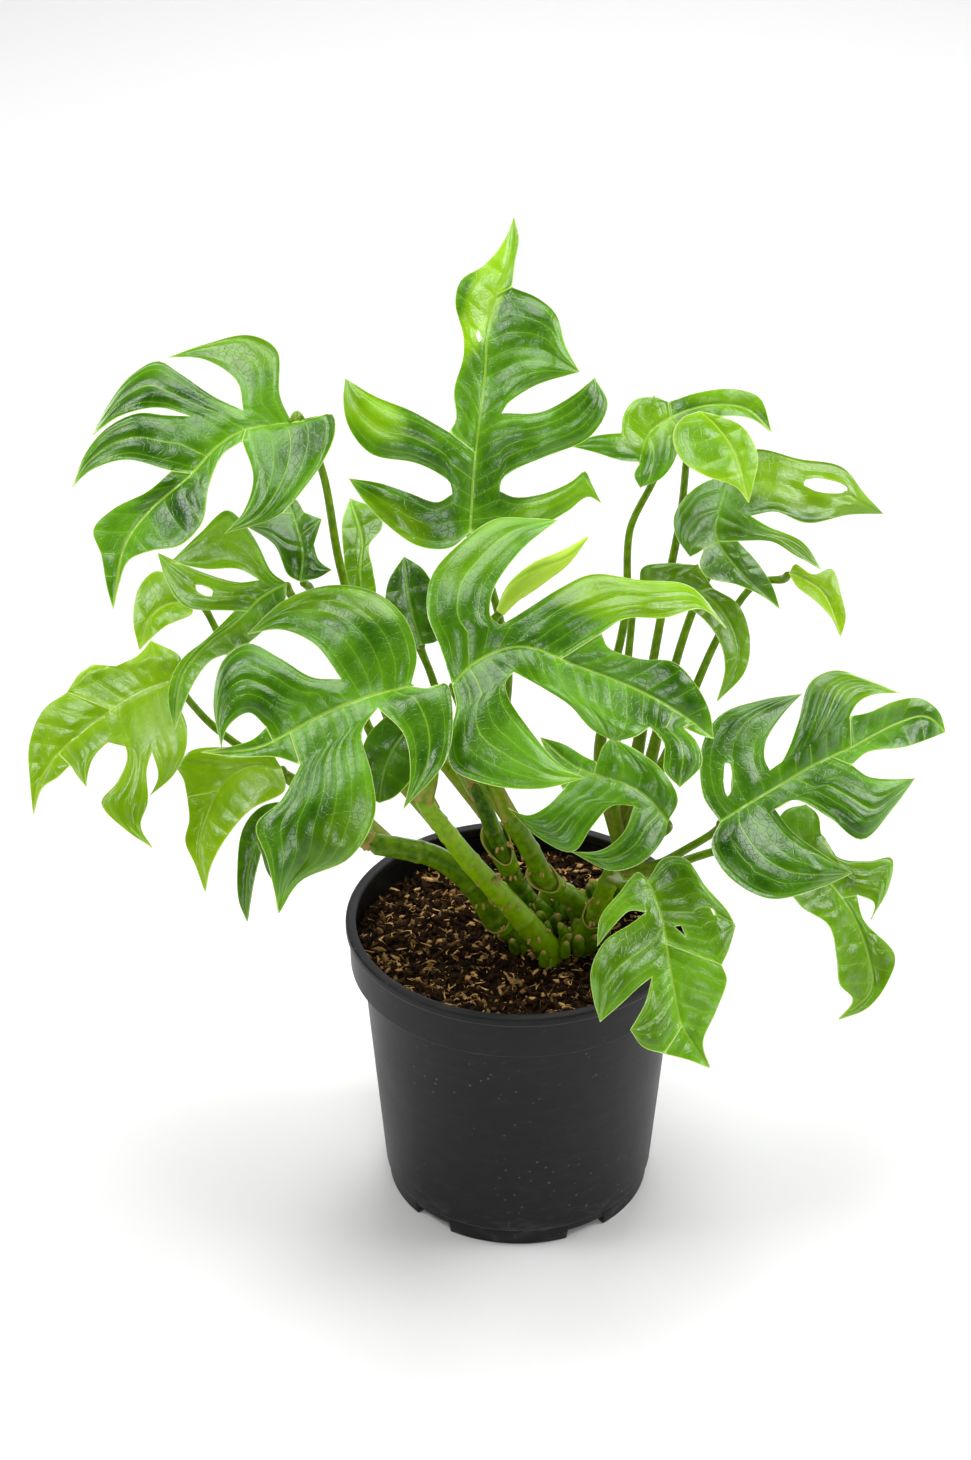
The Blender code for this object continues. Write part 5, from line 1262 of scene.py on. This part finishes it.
def blade_seat(name):
    """Where a stalk ends under its blade: the point nearest the blade's base, and the way the blade faces
    there."""
    points, corners, _ = blades[name]
    base = seen_at(*LEAVES[name]["midrib"][0], BLADE_PLANES[name][0])
    nearest = np.linalg.norm(points - base, axis=1).argmin()
    facing = unit(crossed(points, corners[(corners == nearest).any(axis=1)]).sum(axis=0))
    return points[nearest] - facing * (LEAF_THICKNESS + SEAT_GAP), facing


def collar(path, share, tall, flare, radius):
    """What is left of an old leaf's sheath: a thin cup round the cane. Its profile runs up the outside,
    over the rim and down the inside. The rim is low where it faces the camera and rises round to the back,
    dry and tan."""
    place = at_share(path, share)
    ahead = unit(at_share(path, min(share + 0.1, 1)) - place)
    side, front = across(ahead, place)
    turn = np.linspace(0, 2 * np.pi, 33)
    climb = np.linspace(0, 1, COLLAR_ROWS)
    up = np.r_[climb, climb[::-1], 0][:, None]
    inside = np.repeat((0, 1, 0), (COLLAR_ROWS, COLLAR_ROWS, 1))[:, None]
    rim = tall * (0.30 + 0.70 * ((1 - np.sin(turn)) / 2) ** 0.8)
    uneven = 0.0004 * np.sin(3 * turn + share * 9)
    reach = radius * 0.96 + 0.0006 + (flare + uneven) * up**1.6 - COLLAR_WALL * inside
    ring = np.cos(turn)[:, None] * side + np.sin(turn)[:, None] * front
    points = place + reach[..., None] * ring[None] + (up * rim)[..., None] * ahead
    return points, tall * up, np.abs(turn / np.pi - 1)[None], 0.45, 0.55 * rising(up - 0.92, 0.08)


def stalk_parts(start, leaf, passing):
    """One stalk: it leaves along the cane, widens into a sheath over its first third, is grooved towards
    the camera and thickens a little in the last centimetre, where the blade turns to the light."""
    if leaf == "leaf_furled":
        last = seen_at(*FURLED_COURSE[0])
        facing = unit(seen_at(*FURLED_COURSE[1]) - last)
    else:
        last, facing = blade_seat(leaf)
    waypoints = [start, *[seen_at(*point) for point in passing], last - facing * STALK_BEND, last]
    path = along(smooth(waypoints), np.linspace(0, 1, STALK_STEPS))
    travelled = travel(path)
    share, left = travelled / travelled[-1], travelled[-1] - travelled
    sheath = np.clip(1 - share / SHEATH_SHARE, 0, 1)
    radii = STALK_FOOT_RADIUS + (STALK_TIP_RADIUS - STALK_FOOT_RADIUS) * share**0.6
    radii = radii * (1 + 0.30 * ridge(left - 0.006, 0.005))
    radii[-1] *= 0.7
    broad, groove = 1 + 0.55 * np.sqrt(sheath), 0.10 + 0.30 * sheath
    grid, travelled, around = swept(path, radii, STALK_SIDES, broad, groove)
    sheath = padded(sheath)
    pale = 0.30 + 0.30 * sheath * ridge(around - 0.25, 0.2)
    off_front = np.abs(np.linspace(-np.pi / 2, 1.5 * np.pi, STALK_SIDES + 1))[None]
    sheath_edge = np.clip(2 * sheath, 0, 1) * ridge(off_front - 0.70, 0.22)
    return grid, travelled, around, pale, 0.9 * ridge(travelled - 0.001, 0.0012) + 0.75 * sheath_edge


def crown_buds(path, seed):
    """Stout green buds round a cane's foot, each a blunt cone that leans outwards and ends in a dry tan
    tip."""
    own = np.random.default_rng(seed)
    found = []
    share = np.linspace(0, 1, 12)
    for number in range(CROWN_BUDS):
        turn = 2 * np.pi * (number + own.uniform(-0.3, 0.3)) / CROWN_BUDS
        out = np.array((math.cos(turn), math.sin(turn), 0.0))
        foot = path[0] + out * own.uniform(0.0040, 0.0085) + (0, 0, own.uniform(-0.002, 0.001))
        lean = unit(out * own.uniform(0.1, 0.7) + (0, 0, 1))
        course = foot + np.outer(share * own.uniform(0.006, 0.013), lean)
        thick = own.uniform(0.0022, 0.0038) * np.sqrt(np.clip(1 - share**2.4, 0.02, 1))
        tone = own.uniform(-0.2, 0.4)
        found.append((*swept(course, thick, 12), tone, np.clip((padded(share) - 0.86) / 0.1, 0, 0.9)))
    return found


def root_stubs(path, radius, joints, seed):
    """Short tan pegs at each joint: they leave the cane square to it and bend down, tapering to a blunt
    end."""
    own = np.random.default_rng(seed)
    found = []
    share = np.linspace(0, 1, 7)
    for joint in joints:
        middle = at_share(path, joint)
        for turn in own.uniform(-0.4, np.pi + 0.4, 8 if joint < 0.3 else 4):
            out = np.array((math.cos(turn), -abs(math.sin(turn)), own.uniform(-0.1, 0.4)))
            length = own.uniform(0.0010, 0.0032)
            course = middle + out * (radius * 0.8 + length * share[:, None])
            course[:, 2] -= length * 0.7 * share**2
            found.append((*swept(course, 0.0009 * (1 - 0.45 * share), 7), 0.0, 0.95))
    return found


for stem_seed, (stem_name, stem) in enumerate(STEMS.items()):
    course = np.array([seen_at(*point) for point in stem["course"]])
    cane_foot = np.array((*course[0, :2], SOIL_LEVEL))
    above = along(smooth([cane_foot + (0, 0, CANE_UPRIGHT), *course[1:]]), np.linspace(0, 1, CANE_STEPS))
    cane_path = np.vstack([cane_foot - np.outer(np.linspace(1, 0, 6)[:-1], (0, 0, CANE_BURIED)), above])
    travelled = travel(cane_path)
    share = travelled / travelled[-1]
    joint_count = max(2, round(travelled[-1] / JOINT_SPACING))
    uneven = np.random.default_rng(60 + stem_seed).uniform(-0.22, 0.22, joint_count)
    joints = (np.arange(joint_count) + 0.75 + uneven) / joint_count
    joints = joints[joints < HIGHEST_JOINT]
    off_joint = (share[:, None] - joints) * travelled[-1]
    swell = JOINT_SWELL * ridge(off_joint, JOINT_WIDTH).sum(axis=1)
    scar_ring = ridge(off_joint - SCAR_OFFSET, SCAR_WIDTH).sum(axis=1)
    # Each cane is paler above its lowest joint and darkens below it towards the soil: painted shade at its
    # foot
    below_joint = np.exp(-np.clip(-off_joint, 0, None) / 0.004).max(axis=1)
    radii = np.interp(share, (0, 1), stem["radii"]) * (0.94 + swell)
    radii *= np.clip((1 - share) / 0.03, 0.2, 1) ** 0.5
    pale = CANE_TONES[stem_name] + 0.24 * padded(below_joint)
    parts = [(*swept(cane_path, radii, CANE_SIDES, 1.06), pale, 0.18 * padded(scar_ring))]
    for place, tall, flare in COLLARS.get(stem_name, []):
        parts.append(collar(above, place, tall, flare, np.interp(place, (0, 1), stem["radii"])))
    parts += crown_buds(above, 80 + stem_seed)
    parts += root_stubs(above, radii[0], joints[joints < HIGHEST_ROOTS], 20 + stem_seed)
    for leaf_name, leaves_at, passing in stem["stalks"]:
        parts.append(stalk_parts(along(above, [leaves_at])[0], leaf_name, passing))
    stem_points, stem_corners, stem_marks = stem_body(parts)
    plant_piece("canes" + stem_name[5:], stem_points, stem_corners, stalk_green, stem_name, "stalk_green",
                marks=stem_marks)


# New leaf. The youngest leaf is still rolled into a soft spindle, yellow-green and paler than the rest,
# with the free edge of the blade wound round it as a low seam.
FURLED_RADIUS = 0.0050
# Its thickness at even steps from foot to tip, as a share of the radius
FURLED_SWELL = (0.42, 0.66, 0.88, 1.0, 0.98, 0.84, 0.62, 0.36, 0.08)
FURLED_STEPS, FURLED_SIDES = 80, 40
SEAM_TURN, SEAM_WIDTH, SEAM_DEPTH = 2.2, 0.16, 0.16
LIME_YELLOW = (0.56, 0.76, 0.050, 1.0)
LIME_DEEP = (0.34, 0.60, 0.012, 1.0)

lime = Finish(bpy.data.materials.new("new_leaf"))
cloud = lime.noise(lime.place(), 90.0, 4.0)
# Deeper lime along the wound seam: painted shade in its groove
shade = lime.maths("MULTIPLY_ADD", cloud, 0.7, lime.mark("seam"), clamp=True)
new_leaf = lime.skin(
    in_Base_Color=lime.mixed(shade, LIME_YELLOW, LIME_DEEP), in_Roughness=0.42, in_Subsurface_Weight=0.3,
    in_Subsurface_Radius=(0.6, 1.0, 0.2), in_Subsurface_Scale=0.002,
    in_Normal=lime.bump(cloud, 0.3, 0.0005))

share = np.linspace(0, 1, FURLED_STEPS)
path = along(smooth([seen_at(*point) for point in FURLED_COURSE]), share)
swell = FURLED_RADIUS * np.interp(share, np.linspace(0, 1, len(FURLED_SWELL)), FURLED_SWELL)
spindle = swept(path, swell, FURLED_SIDES)[0]
wind = (np.linspace(0, 2 * np.pi, FURLED_SIDES + 1)[None] + SEAM_TURN * padded(share)) % (2 * np.pi)
seam = ridge(np.angle(np.exp(1j * (wind - np.pi))), SEAM_WIDTH)
centre = np.vstack([path[:1], path, path[-1:]])[:, None]
spindle = centre + (spindle - centre) * (1 - SEAM_DEPTH * seam + 0.05 * np.cos(wind))[..., None]
spindle_points, spindle_corners, keep = welded(spindle.reshape(-1, 3), grid_quads(*spindle.shape[:2]))
plant_piece("rolled_leaf", spindle_points, spindle_corners, new_leaf, "leaf_furled", "new_leaf",
            marks={"seam": 0.8 * seam.ravel()[keep]})
